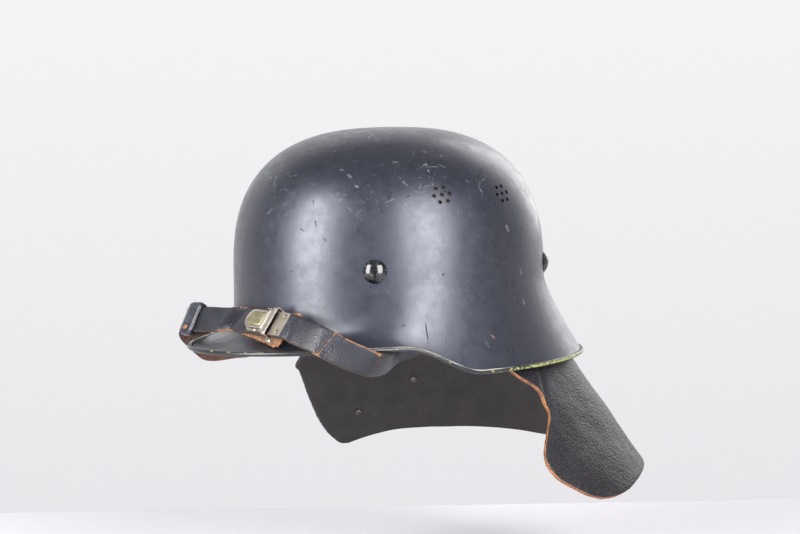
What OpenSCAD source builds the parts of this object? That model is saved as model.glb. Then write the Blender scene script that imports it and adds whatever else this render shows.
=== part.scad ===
// Fire helmet with a pressed metal shell, a leather liner, a chin strap stowed
// over the visor and a hanging neck leather.
// Millimetres. +Z is up, -Y is the front, +X is the wearer's left.
// The origin is the middle of the head opening, level with the shell's edge.
// Angles round the helmet run from the front (0) over the left (90) to the rear (180).

/* [Shell] */
// Half of the dome's width at its widest level
dome_half_w = 108; // [102:0.5:112]
// Reach of the dome ahead of the crown at that level
dome_front = 113; // [108:0.5:118]
// Reach of the dome behind the crown at that level
dome_rear = 110; // [106:0.5:116]
// Height of the widest level above the origin
waist_z = 53; // [50:0.5:57]
// Height of the crown above the widest level
dome_h = 106; // [100:0.5:110]
// Thickness of the pressed plate
plate_t = 1.5; // [1:0.1:2]
// Radius of the rolled edge
bead_r = 1.6; // [1.3:0.1:2]
// Reach of the visor's edge ahead of the crown
visor_reach = 152; // [147:0.5:157]
// Half width of the ellipse that the visor's edge follows
visor_half_w = 112.5; // [110:0.5:115]
// Half width of the skirt's edge
skirt_half_w = 114.5; // [112:0.5:118]
// Reach of the rear edge behind the crown
rear_reach = 149; // [144:0.5:154]
// Height of the visor's edge at the front
visor_z = 9.6; // [7:0.1:12]
// Height of the edge at the temples
temple_z = 12.1; // [9:0.1:14]
// Height of the skirt's edge beside the ears
skirt_z = -6.1; // [-8:0.1:-4]
// Height of the edge at the rear
rear_z = -3.2; // [-5:0.1:-1]
// Slope of the visor below the horizontal
visor_slope = 14; // [11:0.5:18]
// Slope of the skirt's edge below the horizontal, at the sides
side_slope = 67.5; // [63:0.5:72]
// Slope of the skirt's edge below the horizontal, at the rear
rear_slope = 55; // [52:0.5:60]

/* [Vents] */
// Diameter of one vent hole
vent_d = 2.8; // [2:0.1:3.4]
// Distance from a group's middle hole to the six round it
vent_pitch = 5.7; // [5:0.1:7]
// Height of the vent groups
vent_z = 111.3; // [106:0.2:116]
// Angle of the front vent groups
vent_front_a = 75.3; // [70:0.1:80]
// Angle of the rear vent groups
vent_rear_a = 105; // [100:0.5:112]

/* [Liner] */
// Gap between the shell and the liner band
liner_gap = 10; // [8.5:0.1:12]
// Thickness of the liner band
band_t = 1.2; // [1:0.1:1.6]
// Height of the band's lower edge
band_z = 36; // [34:0.2:38]
// Height of the liner band
band_h = 38; // [34:0.5:42]
// Thickness of the liner leather
leather_t = 2; // [1.6:0.1:2.4]
// Height of the liner's finger tips
tip_z = 128; // [124:0.5:132]
// Radius of the ring that the finger tips end on
tip_r = 26; // [24:0.5:30]
// Diameter of the drawstring
cord_d = 2.2; // [1.8:0.1:2.6]
// Height of the liner screws
screw_z = 62; // [58:0.5:66]
// Angle of the front liner screws
screw_front_a = 49.7; // [46:0.1:54]
// Angle of the rear liner screws
screw_rear_a = 139.5; // [136:0.5:146]
// Diameter of a screw's head
screw_head_d = 16; // [13:0.5:18]
// Diameter of a screw's shank
screw_d = 5; // [4:0.1:6]

/* [Chin strap] */
// Width of the chin strap
strap_w = 19; // [17:0.5:20]
// Thickness of the chin strap
strap_t = 2.2; // [1.8:0.1:2.6]
// Diameter of the rings' wire
ring_wire = 3; // [2.5:0.1:3.4]
// Angle of the rivets that hold the strap rings' lugs
lug_a = 88; // [84:0.5:92]
// Length of the buckle's press lever
lever_l = 22.5; // [19:0.5:24]
// Width of the buckle's press lever
lever_w = 14; // [12:0.5:15]
// Size of the catch plate along the strap
catch_l = 11.4; // [9:0.1:12]
// Size of the slider along the strap
slider_l = 10; // [8:0.5:12]

/* [Neck leather] */
// Thickness of the neck leather
neck_t = 3; // [2.4:0.1:3.4]
// Gap between the neck leather and the shell's edge
neck_gap = 11.4; // [10.5:0.1:13]
// Height of the rear hem
hem_z = -83; // [-92:1:-74]
// Spread of the leather per unit of drop, at the rear
neck_flare = 0.69; // [0.6:0.01:0.76]

/* [Hidden] */

// Roundness of the dome's profile near its widest level, and near the crown
side_power = 2.6;
crown_power = 2.76;
// Angles between which the visor's edge passes into the skirt's
temple_start = 58.7;
temple_end = 86.7;
// How closely the wall follows its corner above the visor, and above the skirt
visor_corner = 1;
skirt_corner = 0.31;
// Steps round the shell, and rows on its dome, its flare and its rolled edge
round_steps = 76;
dome_rows = 13;
flare_rows = 9;
bead_rows = 5;
// Clearances: between pieces that only rest together, and round a pin
seat = 0.3;
pin_gap = 0.08;

function smooth(x, a, b) = let (u = min(max((x - a) / (b - a), 0), 1)) u * u * (3 - 2 * u);
function mix(a, b, w) = a + (b - a) * w;
function ellipse_r(half_w, reach, a) = 1 / sqrt(pow(sin(a) / half_w, 2) + pow(cos(a) / reach, 2));
function polar(a, r, z) = [r * sin(a), -r * cos(a), z];
function unit(v) = v / norm(v);

// The shell's shape, round the head
function waist_r(a) = ellipse_r(dome_half_w, cos(a) > 0 ? dome_front : dome_rear, a);
function temple(a) = smooth(abs(a), temple_start, temple_end);
function rim_r(a) = mix(ellipse_r(visor_half_w, visor_reach, a),
    ellipse_r(skirt_half_w, cos(a) > 0 ? visor_reach : rear_reach, a), temple(a));
function rim_z(a) = mix(mix(visor_z, temple_z, smooth(abs(a), 0, 60)),
    mix(skirt_z, rear_z, smooth(abs(a), 90, 180)), temple(a));
function skirt_share(a) = smooth(abs(a), 30, 75);
function rim_slope(a) = mix(visor_slope, mix(side_slope, rear_slope, smooth(abs(a), 90, 160)),
    skirt_share(a));
function corner(a) = mix(visor_corner, skirt_corner, skirt_share(a));
function corner_z(a) = min(rim_z(a) + (rim_r(a) - waist_r(a)) * tan(rim_slope(a)), waist_z);

// The dome's profile for an angle e above its widest level, and the flare's for a share u
function dome_profile(a, e) = [waist_r(a) * pow(cos(e), 2 / side_power),
    waist_z + dome_h * pow(sin(e), 2 / crown_power)];
function bezier(p, u) = pow(1 - u, 3) * p[0] + 3 * u * pow(1 - u, 2) * p[1]
    + 3 * u * u * (1 - u) * p[2] + pow(u, 3) * p[3];
function flare_profile(a, u) = let (w = waist_r(a), r = rim_r(a), z = rim_z(a), c = corner(a),
    cz = corner_z(a)) bezier([[w, waist_z], [w, mix(waist_z, cz, c)],
    [mix(r, w, c), mix(z, cz, c)], [r, z]], u);
// Rows from the crown to the edge, closer together near the widest level
crown_e = 86;
function dome_e(i) = crown_e * pow(1 - i / dome_rows, 1.45);
function wall_profile(a) = concat([for (i = [0:dome_rows]) dome_profile(a, dome_e(i))],
    [for (i = [1:flare_rows]) flare_profile(a, i / flare_rows)]);
// Shifts a profile that runs downwards by d, towards the wearer
function inset(p, d) = [for (i = [0:len(p) - 1])
    let (t = unit(p[min(i + 1, len(p) - 1)] - p[max(i - 1, 0)])) p[i] + d * [t[1], -t[0]]];

// The dome's outer surface at an angle and a height, and its normal there
function dome_point(a, z) = let (e = asin(pow((z - waist_z) / dome_h, crown_power / 2)),
    p = dome_profile(a, e)) polar(a, p[0], p[1]);
function dome_normal(a, z) = unit(cross(dome_point(a + 0.5, z) - dome_point(a - 0.5, z),
    dome_point(a, z + 0.5) - dome_point(a, z - 0.5)));

// A closed mesh through rings of points, with flat ends
module loft(rings) {
    n = len(rings[0]);
    m = len(rings);
    sides = [for (i = [0:m - 2], j = [0:n - 1], k = [0:1]) let (a = i * n + j,
        b = i * n + (j + 1) % n) k == 0 ? [a, b, b + n] : [a, b + n, a + n]];
    ends = [[for (j = [0:n - 1]) n - 1 - j], [for (j = [0:n - 1]) (m - 1) * n + j]];
    polyhedron(points = [for (r = rings) each r], faces = concat(sides, ends), convexity = 8);
}
// A closed ring mesh: the rings follow each other round and meet
module loop(rings) {
    n = len(rings[0]);
    m = len(rings);
    polyhedron(points = [for (r = rings) each r], faces = [for (i = [0:m - 1], j = [0:n - 1],
        k = [0:1]) let (a = i * n + j, b = i * n + (j + 1) % n, c = ((i + 1) % m) * n + j,
        d = ((i + 1) % m) * n + (j + 1) % n) k == 0 ? [a, b, d] : [a, d, c]], convexity = 8);
}
// A sheet of leather from its outer and inner grids, both [column][row]
module slab(outer, inner) {
    n = len(outer[0]);
    m = len(outer);
    at = function (f, i, j) f * m * n + i * n + j;
    quads = concat(
        [for (i = [0:m - 2], j = [0:n - 2])
            [at(0, i, j), at(0, i + 1, j), at(0, i + 1, j + 1), at(0, i, j + 1)]],
        [for (i = [0:m - 2], j = [0:n - 2])
            [at(1, i, j), at(1, i, j + 1), at(1, i + 1, j + 1), at(1, i + 1, j)]],
        [for (i = [0:m - 2]) [at(0, i, 0), at(1, i, 0), at(1, i + 1, 0), at(0, i + 1, 0)]],
        [for (i = [0:m - 2])
            [at(0, i, n - 1), at(0, i + 1, n - 1), at(1, i + 1, n - 1), at(1, i, n - 1)]],
        [for (j = [0:n - 2]) [at(0, 0, j), at(0, 0, j + 1), at(1, 0, j + 1), at(1, 0, j)]],
        [for (j = [0:n - 2])
            [at(0, m - 1, j), at(1, m - 1, j), at(1, m - 1, j + 1), at(0, m - 1, j + 1)]]);
    polyhedron(points = concat([for (c = outer) each c], [for (c = inner) each c]),
        faces = [for (q = quads) each [[q[0], q[1], q[2]], [q[0], q[2], q[3]]]], convexity = 8);
}
// Places children at a point with +Z along a direction
module aim(point, direction) {
    translate(point)
        rotate([0, acos(direction[2] / norm(direction)), atan2(direction[1], direction[0])])
            children();
}
// Places children on both sides of the helmet
module both_sides() {
    children();
    mirror([1, 0, 0]) children();
}
// A smooth curve through points, with n steps between two of them
function spline(p, n) = let (m = len(p) - 1, q = concat([2 * p[0] - p[1]], p,
    [2 * p[m] - p[m - 1]])) concat([for (i = [1:m], k = [0:n - 1]) let (t = k / n)
    0.5 * (2 * q[i] + (q[i + 1] - q[i - 1]) * t
    + (2 * q[i - 1] - 5 * q[i] + 4 * q[i + 1] - q[i + 2]) * t * t
    + (3 * q[i] - q[i - 1] - 3 * q[i + 1] + q[i + 2]) * t * t * t)], [p[m]]);

// The rolled edge closes the wall's outer and inner rows
function bead(a) = let (p = [rim_r(a), rim_z(a)], s = rim_slope(a))
    [for (i = [0:bead_rows]) let (b = 180 - s + 60 - i * 300 / bead_rows)
    p + bead_r * [cos(b), sin(b)]];
function shell_column(a) = let (w = wall_profile(a), n = inset(w, plate_t), m = len(w) - 1)
    concat([for (i = [0:m - 1]) w[i]], bead(a), [for (i = [1:m]) n[m - i]]);
function shell_rings() = let (c = [for (j = [0:round_steps - 1]) shell_column(
    j * 360 / round_steps - 180)]) [for (i = [0:len(c[0]) - 1]) [for (j = [0:round_steps - 1])
    polar(j * 360 / round_steps - 180, c[j][i][0], c[j][i][1])]];

module vent_group(a) {
    aim(dome_point(a, vent_z), dome_normal(a, vent_z))
        for (k = [0:6])
            rotate([0, 0, k * 60])
                translate([k == 6 ? 0 : vent_pitch, 0, -3 * plate_t])
                    cylinder(d = vent_d, h = 6 * plate_t, $fn = 24);
}
module shell() {
    color("#3a3d44") difference() {
        loft(shell_rings());
        both_sides() {
            vent_group(vent_front_a);
            vent_group(vent_rear_a);
            at_screws() translate([0, 0, -3 * plate_t])
                cylinder(d = screw_d + 2 * pin_gap, h = 6 * plate_t, $fn = 32);
        }
    }
}

// Liner screws: dome head outside, shank through the shell, a spacer and the band
module at_screws() {
    for (a = [screw_front_a, screw_rear_a])
        aim(dome_point(a, screw_z), dome_normal(a, screw_z)) children();
}
head_h = 3.4;
slot_w = 1.8;
slot_depth = 1.3;
nut_h = 3;
nut_w = 9;
head_sphere_r = (pow(screw_head_d / 2, 2) + head_h * head_h) / (2 * head_h);
shank_l = plate_t + liner_gap + band_t + seat + nut_h + 1;
module liner_screws() {
    color("#2c2d31") both_sides() at_screws() {
        difference() {
            intersection() {
                translate([0, 0, head_h - head_sphere_r]) sphere(r = head_sphere_r, $fn = 96);
                cylinder(d = screw_head_d, h = head_h, $fn = 64);
            }
            translate([-screw_head_d, -slot_w / 2, head_h - slot_depth])
                cube([2 * screw_head_d, slot_w, head_h]);
        }
        translate([0, 0, -shank_l]) cylinder(d = screw_d, h = shank_l + 0.2, $fn = 32);
    }
}
module liner_nuts() {
    color("#8a8d92") both_sides() at_screws()
        translate([0, 0, -(plate_t + liner_gap + band_t + seat + nut_h)]) difference() {
            translate([-nut_w / 2, -nut_w / 2, 0]) cube([nut_w, nut_w, nut_h]);
            translate([0, 0, -1]) cylinder(d = screw_d + 2 * pin_gap, h = nut_h + 2, $fn = 32);
        }
}
spacer_d = 12;
module liner_spacers() {
    color("#1d1d1f") both_sides() at_screws()
        translate([0, 0, -(plate_t + liner_gap - 0.15)]) difference() {
            cylinder(d = spacer_d, h = liner_gap - 0.15 - seat, $fn = 48);
            translate([0, 0, -1]) cylinder(d = screw_d + 2 * pin_gap, h = liner_gap + 2, $fn = 32);
        }
}

// The liner band: a metal hoop that follows the shell at an even gap
function band_r(a) = waist_r(a) - plate_t - liner_gap;
band_steps = 72;
band_hole_d = 7;
module band_outline(d) {
    polygon([for (j = [0:band_steps - 1]) let (a = j * 360 / band_steps)
        [(band_r(a) + d) * sin(a), -(band_r(a) + d) * cos(a)]]);
}
rivet_z = band_z + 5;
rivet_d = 3;
rivet_count = 8;
lug_rivet_d = 4;
tab_a = [167, 180, 193];
tab_z = band_z + 13;
// A place on the band's outer face, +Z outwards and +Y up
module on_band(a, z) {
    translate(polar(a, band_r(a), z)) rotate([90, 0, a]) children();
}
module liner_band() {
    color("#9a9c9e") difference() {
        translate([0, 0, band_z]) linear_extrude(band_h) difference() {
            band_outline(0);
            band_outline(-band_t);
        }
        both_sides() at_screws() translate([0, 0, -30])
            cylinder(d = screw_d + 2 * pin_gap, h = 28, $fn = 32);
        for (k = [0:rivet_count - 1])
            on_band(22.5 + k * 45, rivet_z) translate([0, 0, -5])
                cylinder(d = rivet_d + 2 * pin_gap, h = 10, $fn = 24);
        for (a = [lug_a, -lug_a])
            on_band(a, lug_z) translate([0, 0, -5])
                cylinder(d = lug_rivet_d + 2 * pin_gap, h = 10, $fn = 24);
        for (a = tab_a)
            on_band(a, tab_z) translate([0, 0, -5])
                cylinder(d = tab_stud_d + 2 * pin_gap, h = 10, $fn = 24);
        for (k = [0:15])
            on_band(11.25 + k * 22.5, band_z + band_h - 8) translate([0, 0, -5])
                cylinder(d = band_hole_d, h = 10, $fn = 24);
    }
}

// The liner's leather: a sweatband folded round the band's lower edge
turnup_h = 9;
function fold_path(a) = let (o = band_r(a) + seat + leather_t / 2,
    i = band_r(a) - band_t - seat - leather_t / 2, b = band_z - seat - leather_t / 2)
    [[o, band_z + turnup_h], [o, b + 1], [mix(o, i, 0.25), b - 0.3], [mix(o, i, 0.75), b - 0.3],
    [i, b + 1], [i - 2, band_z + 10], [i - 6, band_z + 20], [i - 7.5, band_z + 30],
    [i - 8, band_z + 38]];
function thicken(p, t) = let (o = inset(p, -t / 2), i = inset(p, t / 2))
    concat(o, [for (k = [0:len(i) - 1]) i[len(i) - 1 - k]]);
sweat_steps = 54;
module liner_leather() {
    color("#7a4a2c") difference() {
        loop([for (j = [0:sweat_steps - 1]) let (a = j * 360 / sweat_steps)
            [for (p = thicken(fold_path(a), leather_t)) polar(a, p[0], p[1])]]);
        for (k = [0:rivet_count - 1])
            on_band(22.5 + k * 45, rivet_z) translate([0, 0, -8])
                cylinder(d = rivet_d + 2 * pin_gap, h = 16, $fn = 24);
        for (a = [lug_a, -lug_a])
            on_band(a, lug_z) translate([0, 0, -8])
                cylinder(d = lug_rivet_d + 2 * pin_gap, h = 16, $fn = 24);
    }
}
// Eight leather fingers, sewn inside the sweatband, reach up to the drawstring
finger_count = 8;
finger_base_z = band_z + 33;
finger_base_in = band_t + seat + leather_t / 2 + 8 + leather_t + 0.1;
finger_base_w = 31;
finger_tip_w = 8;
finger_rows = 8;
finger_cols = 4;
// Radius and height of the fingers' mid surface for a share s from base to tip
function finger_mid(a, s) = let (r0 = band_r(a) - finger_base_in, e = 90 * s)
    [mix(tip_r - 7, r0, pow(cos(e), 0.9)), mix(finger_base_z, tip_z, pow(sin(e), 1.15))];
// Half of a finger's width, with a rounded tip
function finger_half_w(s) = mix(finger_base_w, finger_tip_w, smooth(s, 0, 0.8))
    * (s > 0.9 ? sqrt(1 - pow((s - 0.9) / 0.112, 2)) : 1);
function finger_point(a, s, j, d) = let (t = unit(finger_mid(a, min(s + 0.01, 1))
    - finger_mid(a, max(s - 0.01, 0))), c = finger_mid(a, s) + d * [t[1], -t[0]],
    b = finger_half_w(s) * j / finger_cols / max(c[0], 12) * 180 / PI
    * mix(1, 0.9, smooth(s, 0.5, 1)))
    polar(a + b, mix(c[0], finger_mid(a + b, s)[0] + d * t[1], 1 - smooth(s, 0.3, 0.9)), c[1]);
function finger_face(a, d) = [for (j = [-finger_cols:finger_cols])
    [for (i = [0:finger_rows]) finger_point(a, i / finger_rows, j, d)]];
module finger(a) {
    slab(finger_face(a, leather_t / 2), finger_face(a, -leather_t / 2));
}
cord_hole_d = 6;
module liner_fingers() {
    color("#7a4a2c") for (k = [0:finger_count - 1])
        difference() {
            finger(22.5 + k * 45);
            translate(polar(22.5 + k * 45, tip_r, tip_z - 8))
                cylinder(d = cord_hole_d, h = 16, $fn = 24);
        }
}
module liner_rivets() {
    color("#8a8472") for (k = [0:rivet_count - 1])
        on_band(22.5 + k * 45, rivet_z) {
            translate([0, 0, -6]) cylinder(d = rivet_d, h = 6 + seat + leather_t + 0.6, $fn = 24);
            translate([0, 0, seat + leather_t + 0.5]) cylinder(d = 6, h = 1, $fn = 32);
        }
}
// The drawstring rises through each finger's hole and dips between the fingers
cord_wave = 4;
module drawstring() {
    color("#b9a98a") loop([for (i = [0:63]) let (a = i * 360 / 64,
        t = unit([PI / 180 * tip_r, cord_wave * 8 * cos(8 * (a - 22.5)) * PI / 180]),
        c = [tip_r, tip_z + cord_wave * sin(8 * (a - 22.5))])
        [for (k = [0:5]) let (b = -k * 60, u = cord_d / 2 * cos(b), v = cord_d / 2 * sin(b))
        polar(a, c[0] + u, c[1]) + v * [-t[1] * cos(a), -t[1] * sin(a), t[0]]]]);
}

// Lugs: a strip riveted to the band, rolled round the strap ring's near bar
lug_z = band_z + 5;
lug_tilt = 36;
lug_t = 1.2;
lug_w = 9;
lug_reach = 11;
lug_base = seat + leather_t + seat;
wire_gap = 0.08;
roll_r = ring_wire / 2 + wire_gap + lug_t;
ring_l = 13;
ring_bar = strap_w + 4;
// A frame on the left lug's rivet: +X along the strap, forwards and down, +Z outwards
module at_lug() {
    on_band(lug_a, lug_z) rotate([0, 0, 180 + lug_tilt]) translate([0, 0, lug_base]) children();
}
module lug() {
    color("#77756c") at_lug() difference() {
        union() {
            translate([-lug_w / 2, -lug_w / 2, 0]) cube([lug_w / 2 + lug_reach, lug_w, lug_t]);
            translate([lug_reach, -lug_w / 2, roll_r]) rotate([-90, 0, 0])
                cylinder(r = roll_r, h = lug_w, $fn = 48);
        }
        translate([lug_reach, -lug_w, roll_r]) rotate([-90, 0, 0])
            cylinder(r = roll_r - lug_t, h = 2 * lug_w, $fn = 48);
        translate([0, 0, -1]) cylinder(d = lug_rivet_d + 2 * pin_gap, h = 4, $fn = 32);
    }
}
module lug_left() { lug(); }
module lug_right() { mirror([1, 0, 0]) lug(); }
module lug_rivets() {
    color("#8a8472") both_sides() at_lug() {
        translate([0, 0, -lug_base - band_t - 1]) cylinder(d = lug_rivet_d, h = 6.6, $fn = 32);
        translate([0, 0, lug_t + 0.05]) intersection() {
            cylinder(d = 7.5, h = 1.8, $fn = 48);
            translate([0, 0, -4.2]) sphere(r = 6, $fn = 64);
        }
    }
}
// Strap rings: a rounded rectangle of wire, from the lug's roll to the strap's loop
ring_corner = 3.5;
module ring_wire_frame() {
    w = ring_bar - 2 * ring_corner;
    l = ring_l - 2 * ring_corner;
    for (x = [0, ring_l])
        translate([x, -w / 2, 0]) rotate([-90, 0, 0]) cylinder(d = ring_wire, h = w, $fn = 32);
    for (y = [-ring_bar / 2, ring_bar / 2])
        translate([ring_corner, y, 0]) rotate([0, 90, 0]) cylinder(d = ring_wire, h = l, $fn = 32);
    for (x = [0, 1], y = [0, 1])
        translate([x == 0 ? ring_corner : ring_l - ring_corner, (y - 0.5) * w, 0])
            rotate([0, 0, x == 0 ? (y == 0 ? 180 : 90) : (y == 0 ? 270 : 0)])
                rotate_extrude(angle = 90, $fn = 48) translate([ring_corner, 0])
                    circle(d = ring_wire, $fn = 32);
}
// The ring leans in, to follow the band round
ring_tilt = 7;
module at_ring() {
    at_lug() translate([lug_reach, 0, roll_r]) rotate([0, ring_tilt, 0]) children();
}
module strap_ring() {
    color("#77756c") at_ring() ring_wire_frame();
}
module strap_ring_left() { strap_ring(); }
module strap_ring_right() { mirror([1, 0, 0]) strap_ring(); }

// The chin strap's route. A station is a point and the lean of the strap's width from the
// upright; it is set out from the shell's edge by an angle, a reach and a rise.
function by_rim(a, reach, rise, lean) = concat(polar(a, rim_r(a) + reach, rim_z(a) + rise), [lean]);
buckle_a = 16.85;
buckle_lean = 36.5;
buckle_yaw = 6;
buckle_dip = 2.5;
buckle_o = by_rim(buckle_a, -21.6, 17.8, buckle_lean);
buckle_dir = [cos(buckle_yaw) * cos(buckle_dip), sin(buckle_yaw) * cos(buckle_dip), -sin(buckle_dip)];
buckle_out = [cos(buckle_yaw) * sin(buckle_dip) * sin(buckle_lean) + sin(buckle_yaw) * cos(buckle_lean),
    sin(buckle_yaw) * sin(buckle_dip) * sin(buckle_lean) - cos(buckle_yaw) * cos(buckle_lean),
    cos(buckle_dip) * sin(buckle_lean)];
// A station a distance u along the buckle's straight run, and below its plane by a drop
function by_buckle(u, drop = 0) = buckle_o + concat(u * buckle_dir - drop * buckle_out, [0]);
// A place a distance x along the left strap ring, past its near bar
end_t = 1.6;
loop_slack = 1;
loop_r = ring_wire / 2 + loop_slack + end_t / 2;
function by_ring(x) = let (u = lug_reach + x * cos(ring_tilt), w = roll_r - x * sin(ring_tilt),
    r = band_r(lug_a) + lug_base + w, f = -u * cos(lug_tilt))
    [f * cos(lug_a) + r * sin(lug_a), f * sin(lug_a) - r * cos(lug_a), lug_z - u * sin(lug_tilt), 0];
// The slider keeps to the straight run ahead of the right temple
slider_lean = 24;
slider_from = by_rim(-21.2, -9, 16.4, slider_lean);
slider_to = by_rim(-26.7, 2.8, 15.7, slider_lean);
left_route = [by_buckle(3.5), by_buckle(8.5), by_buckle(13), by_buckle(18.5, 1.25),
    by_rim(28, -8.1, 13.5, 34), by_rim(35, 1.9, 8.4, 24), by_rim(41, 4.3, 0.3, 1),
    by_rim(46, 4.5, -5.2, -15), by_rim(49.8, 2.1, -9.1, -35), by_rim(53.5, -7.1, -9.6, -35),
    by_rim(58, -15.9, -1.2, -11), by_rim(65, -13.2, 6.2, -2), by_ring(ring_l + loop_r)];
right_ring = by_ring(ring_l + loop_r);
right_route = [by_buckle(-3.5), by_buckle(-14), by_buckle(-25), by_buckle(-36.5, 0.65),
    by_rim(-6, -28, 19.3, 36), by_rim(-12.3, -22.9, 17.7, 33), by_rim(-17.7, -15.2, 16.8, slider_lean),
    slider_from, mix(slider_from, slider_to, 0.5), slider_to, by_rim(-28.5, 6.3, 13.6, 24),
    by_rim(-31, 6.9, 7.9, 24), by_rim(-35.6, 6.5, 1.4, 25), by_rim(-41.3, 7.3, -5.7, 21),
    by_rim(-47.2, 5.2, -13.4, 40), by_rim(-52.5, -3.5, -15, 58), by_rim(-57.3, -11.4, -12.6, 48),
    by_rim(-65.4, -14.1, 1.5, 18), [-right_ring[0], right_ring[1], right_ring[2], 0]];
// Rings of a flat strap along a route; rows are rounded at the strap's edges
function strap_rings(route, steps, width, thick, shift) = let (c = spline(route, steps),
    n = len(c) - 1) [for (i = [0:n]) let (p = [c[i][0], c[i][1], c[i][2]],
    t3 = c[min(i + 1, n)] - c[max(i - 1, 0)], t = unit([t3[0], t3[1], t3[2]]),
    s = unit(cross([0, 0, 1], t)), out = s * [p[0], p[1], 0] > 0 ? s : -s,
    up0 = unit(cross(t, s)), up = up0[2] > 0 ? up0 : -up0,
    w = up * cos(c[i][3]) - out * sin(c[i][3]), f = out * cos(c[i][3]) + up * sin(c[i][3]))
    [for (q = [[-1, -0.5], [-1, 0.5], [1, 0.5], [1, -0.5]])
    p + q[0] * width / 2 * w + (q[1] * thick + shift) * f]];
module strap_band(route, steps, width, thick, shift) {
    rings = strap_rings(route, steps, width, thick, shift);
    flip = (cross(rings[0][1] - rings[0][0], rings[0][3] - rings[0][0])
        * (rings[1][0] - rings[0][0])) > 0;
    loft(flip ? [for (r = rings) [r[3], r[2], r[1], r[0]]] : rings);
}
// The end of a strap, folded round the ring's far bar
module strap_loop() {
    at_ring() translate([ring_l, -strap_w / 2, 0]) rotate([-90, 0, 0]) difference() {
        cylinder(r = loop_r + end_t / 2, h = strap_w, $fn = 48);
        translate([0, 0, -1]) cylinder(r = loop_r - end_t / 2, h = strap_w + 2, $fn = 48);
    }
}
module chin_strap_left() {
    color("#4a4a4e") {
        strap_band(left_route, 6, strap_w, strap_t, 0);
        strap_loop();
    }
}
module chin_strap_right() {
    color("#4a4a4e") {
        strap_band(right_route, 6, strap_w, strap_t, 0);
        mirror([1, 0, 0]) strap_loop();
    }
}
// A leather tongue behind the buckle, wider than the strap at its free end
backing_t = 1.6;
backing_gap = 0.15;
backing_shape = [[12.6, 9], [12.5, -15], [8, -15.2], [-14, -11.6], [-28.5, -9.4], [-28.5, 9.6],
    [6, 10.4]];
module buckle_backing() {
    color("#b5653a") at_buckle() translate([0, 0, -strap_t - backing_t - backing_gap])
        linear_extrude(backing_t) polygon(backing_shape);
}

// The buckle's own frame: +X along the strap to the left, +Y up its width, +Z out of its face
module at_buckle() {
    p = [buckle_o[0], buckle_o[1], buckle_o[2]];
    translate(p) rotate([0, buckle_dip, buckle_yaw]) rotate([90 - buckle_lean, 0, 0])
        translate([0, 0, strap_t / 2]) children();
}
metal_t = 0.9;
metal_gap = 0.15;
plate_top = metal_gap + metal_t;
catch_x = 1.2;
catch_w = 17.6;
catch_rivet_y = 6;
module catch_rivet_places() {
    for (y = [-catch_rivet_y, catch_rivet_y])
        translate([catch_x + catch_l * 0.62, y, 0]) children();
}
module buckle_catch() {
    color("#b5ac98") at_buckle() difference() {
        translate([catch_x, -catch_w / 2, metal_gap]) cube([catch_l, catch_w, metal_t]);
        catch_rivet_places() translate([0, 0, -1]) cylinder(d = 2 + 2 * pin_gap, h = 4, $fn = 24);
        translate([catch_x - 1, -catch_w / 2 + 1.2, plate_top - 0.25])
            cube([catch_l - 1, catch_w - 2.4, 1]);
    }
}
module rivet(shank_d, head_d, rise, h) {
    translate([0, 0, metal_gap]) cylinder(d = shank_d, h = rise, $fn = 24);
    translate([0, 0, rise]) intersection() {
        cylinder(d = head_d, h = h, $fn = 32);
        r = (head_d * head_d / 4 + h * h) / (2 * h);
        translate([0, 0, h - r]) sphere(r = r, $fn = 48);
    }
}
module catch_rivets() {
    color("#cfc7b2") at_buckle() catch_rivet_places() rivet(2, 3.4, plate_top + 0.05, 0.8);
}
// The bridge: a raised bar across the strap, with a foot at each end
bridge_w = 3;
bridge_rise = 4.4;
bridge_y = strap_w / 2 + 0.4;
module buckle_bridge() {
    color("#c4bba6") at_buckle() {
        translate([-bridge_w / 2, -bridge_y - metal_t, bridge_rise - metal_t])
            cube([bridge_w, 2 * (bridge_y + metal_t), metal_t]);
        for (s = [-1, 1])
            translate([-bridge_w / 2, s * (bridge_y + metal_t / 2) - metal_t / 2, -strap_t])
                cube([bridge_w, metal_t, bridge_rise + strap_t]);
        translate([-bridge_w / 2, bridge_y + metal_t, bridge_rise - metal_t]) rotate([0, 90, 0])
            cylinder(r = metal_t, h = bridge_w, $fn = 32);
    }
}
// The base plate, with a rounded far end and two ears for the lever's pin
base_x = -2.5;
base_l = 23.5;
base_w = 16.6;
ear_y = lever_w / 2 + 0.8;
pin_x = -5.2;
pin_z = 2.8;
lever_pin_d = 1.6;
module round_end(l, w, h) {
    intersection() {
        translate([-l, -w / 2, 0]) cube([l, w, h]);
        translate([-l + w * 0.55, 0, 0]) union() {
            cylinder(r = w * 0.55, h = h, $fn = 96);
            translate([0, -w / 2, 0]) cube([l, w, h]);
        }
    }
}
base_rivet_x = -14;
base_rivet_y = 6.4;
module base_rivet_places() {
    for (y = [-base_rivet_y, base_rivet_y])
        translate([base_rivet_x, y, 0]) children();
}
module buckle_base() {
    color("#a8a080") at_buckle() difference() {
        union() {
            translate([base_x, 0, metal_gap]) round_end(base_l, base_w, metal_t);
            for (s = [-1, 1])
                translate([pin_x - 2.2, s * (ear_y + 0.45) - 0.45, metal_gap])
                    cube([4.4, 0.9, pin_z + 1.5]);
        }
        translate([pin_x, -base_w, pin_z]) rotate([-90, 0, 0])
            cylinder(d = lever_pin_d + 2 * pin_gap, h = 2 * base_w, $fn = 32);
        base_rivet_places() translate([0, 0, -1]) cylinder(d = 2 + 2 * pin_gap, h = 4, $fn = 24);
    }
}
module base_rivets() {
    color("#cfc7b2") at_buckle() base_rivet_places() rivet(2, 3.2, plate_top + 0.05, 0.5);
}
module lever_pin() {
    color("#8f8a7a") at_buckle() translate([pin_x, -ear_y - 1.2, pin_z]) rotate([-90, 0, 0])
        cylinder(d = lever_pin_d, h = 2 * (ear_y + 1.2), $fn = 32);
}
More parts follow.
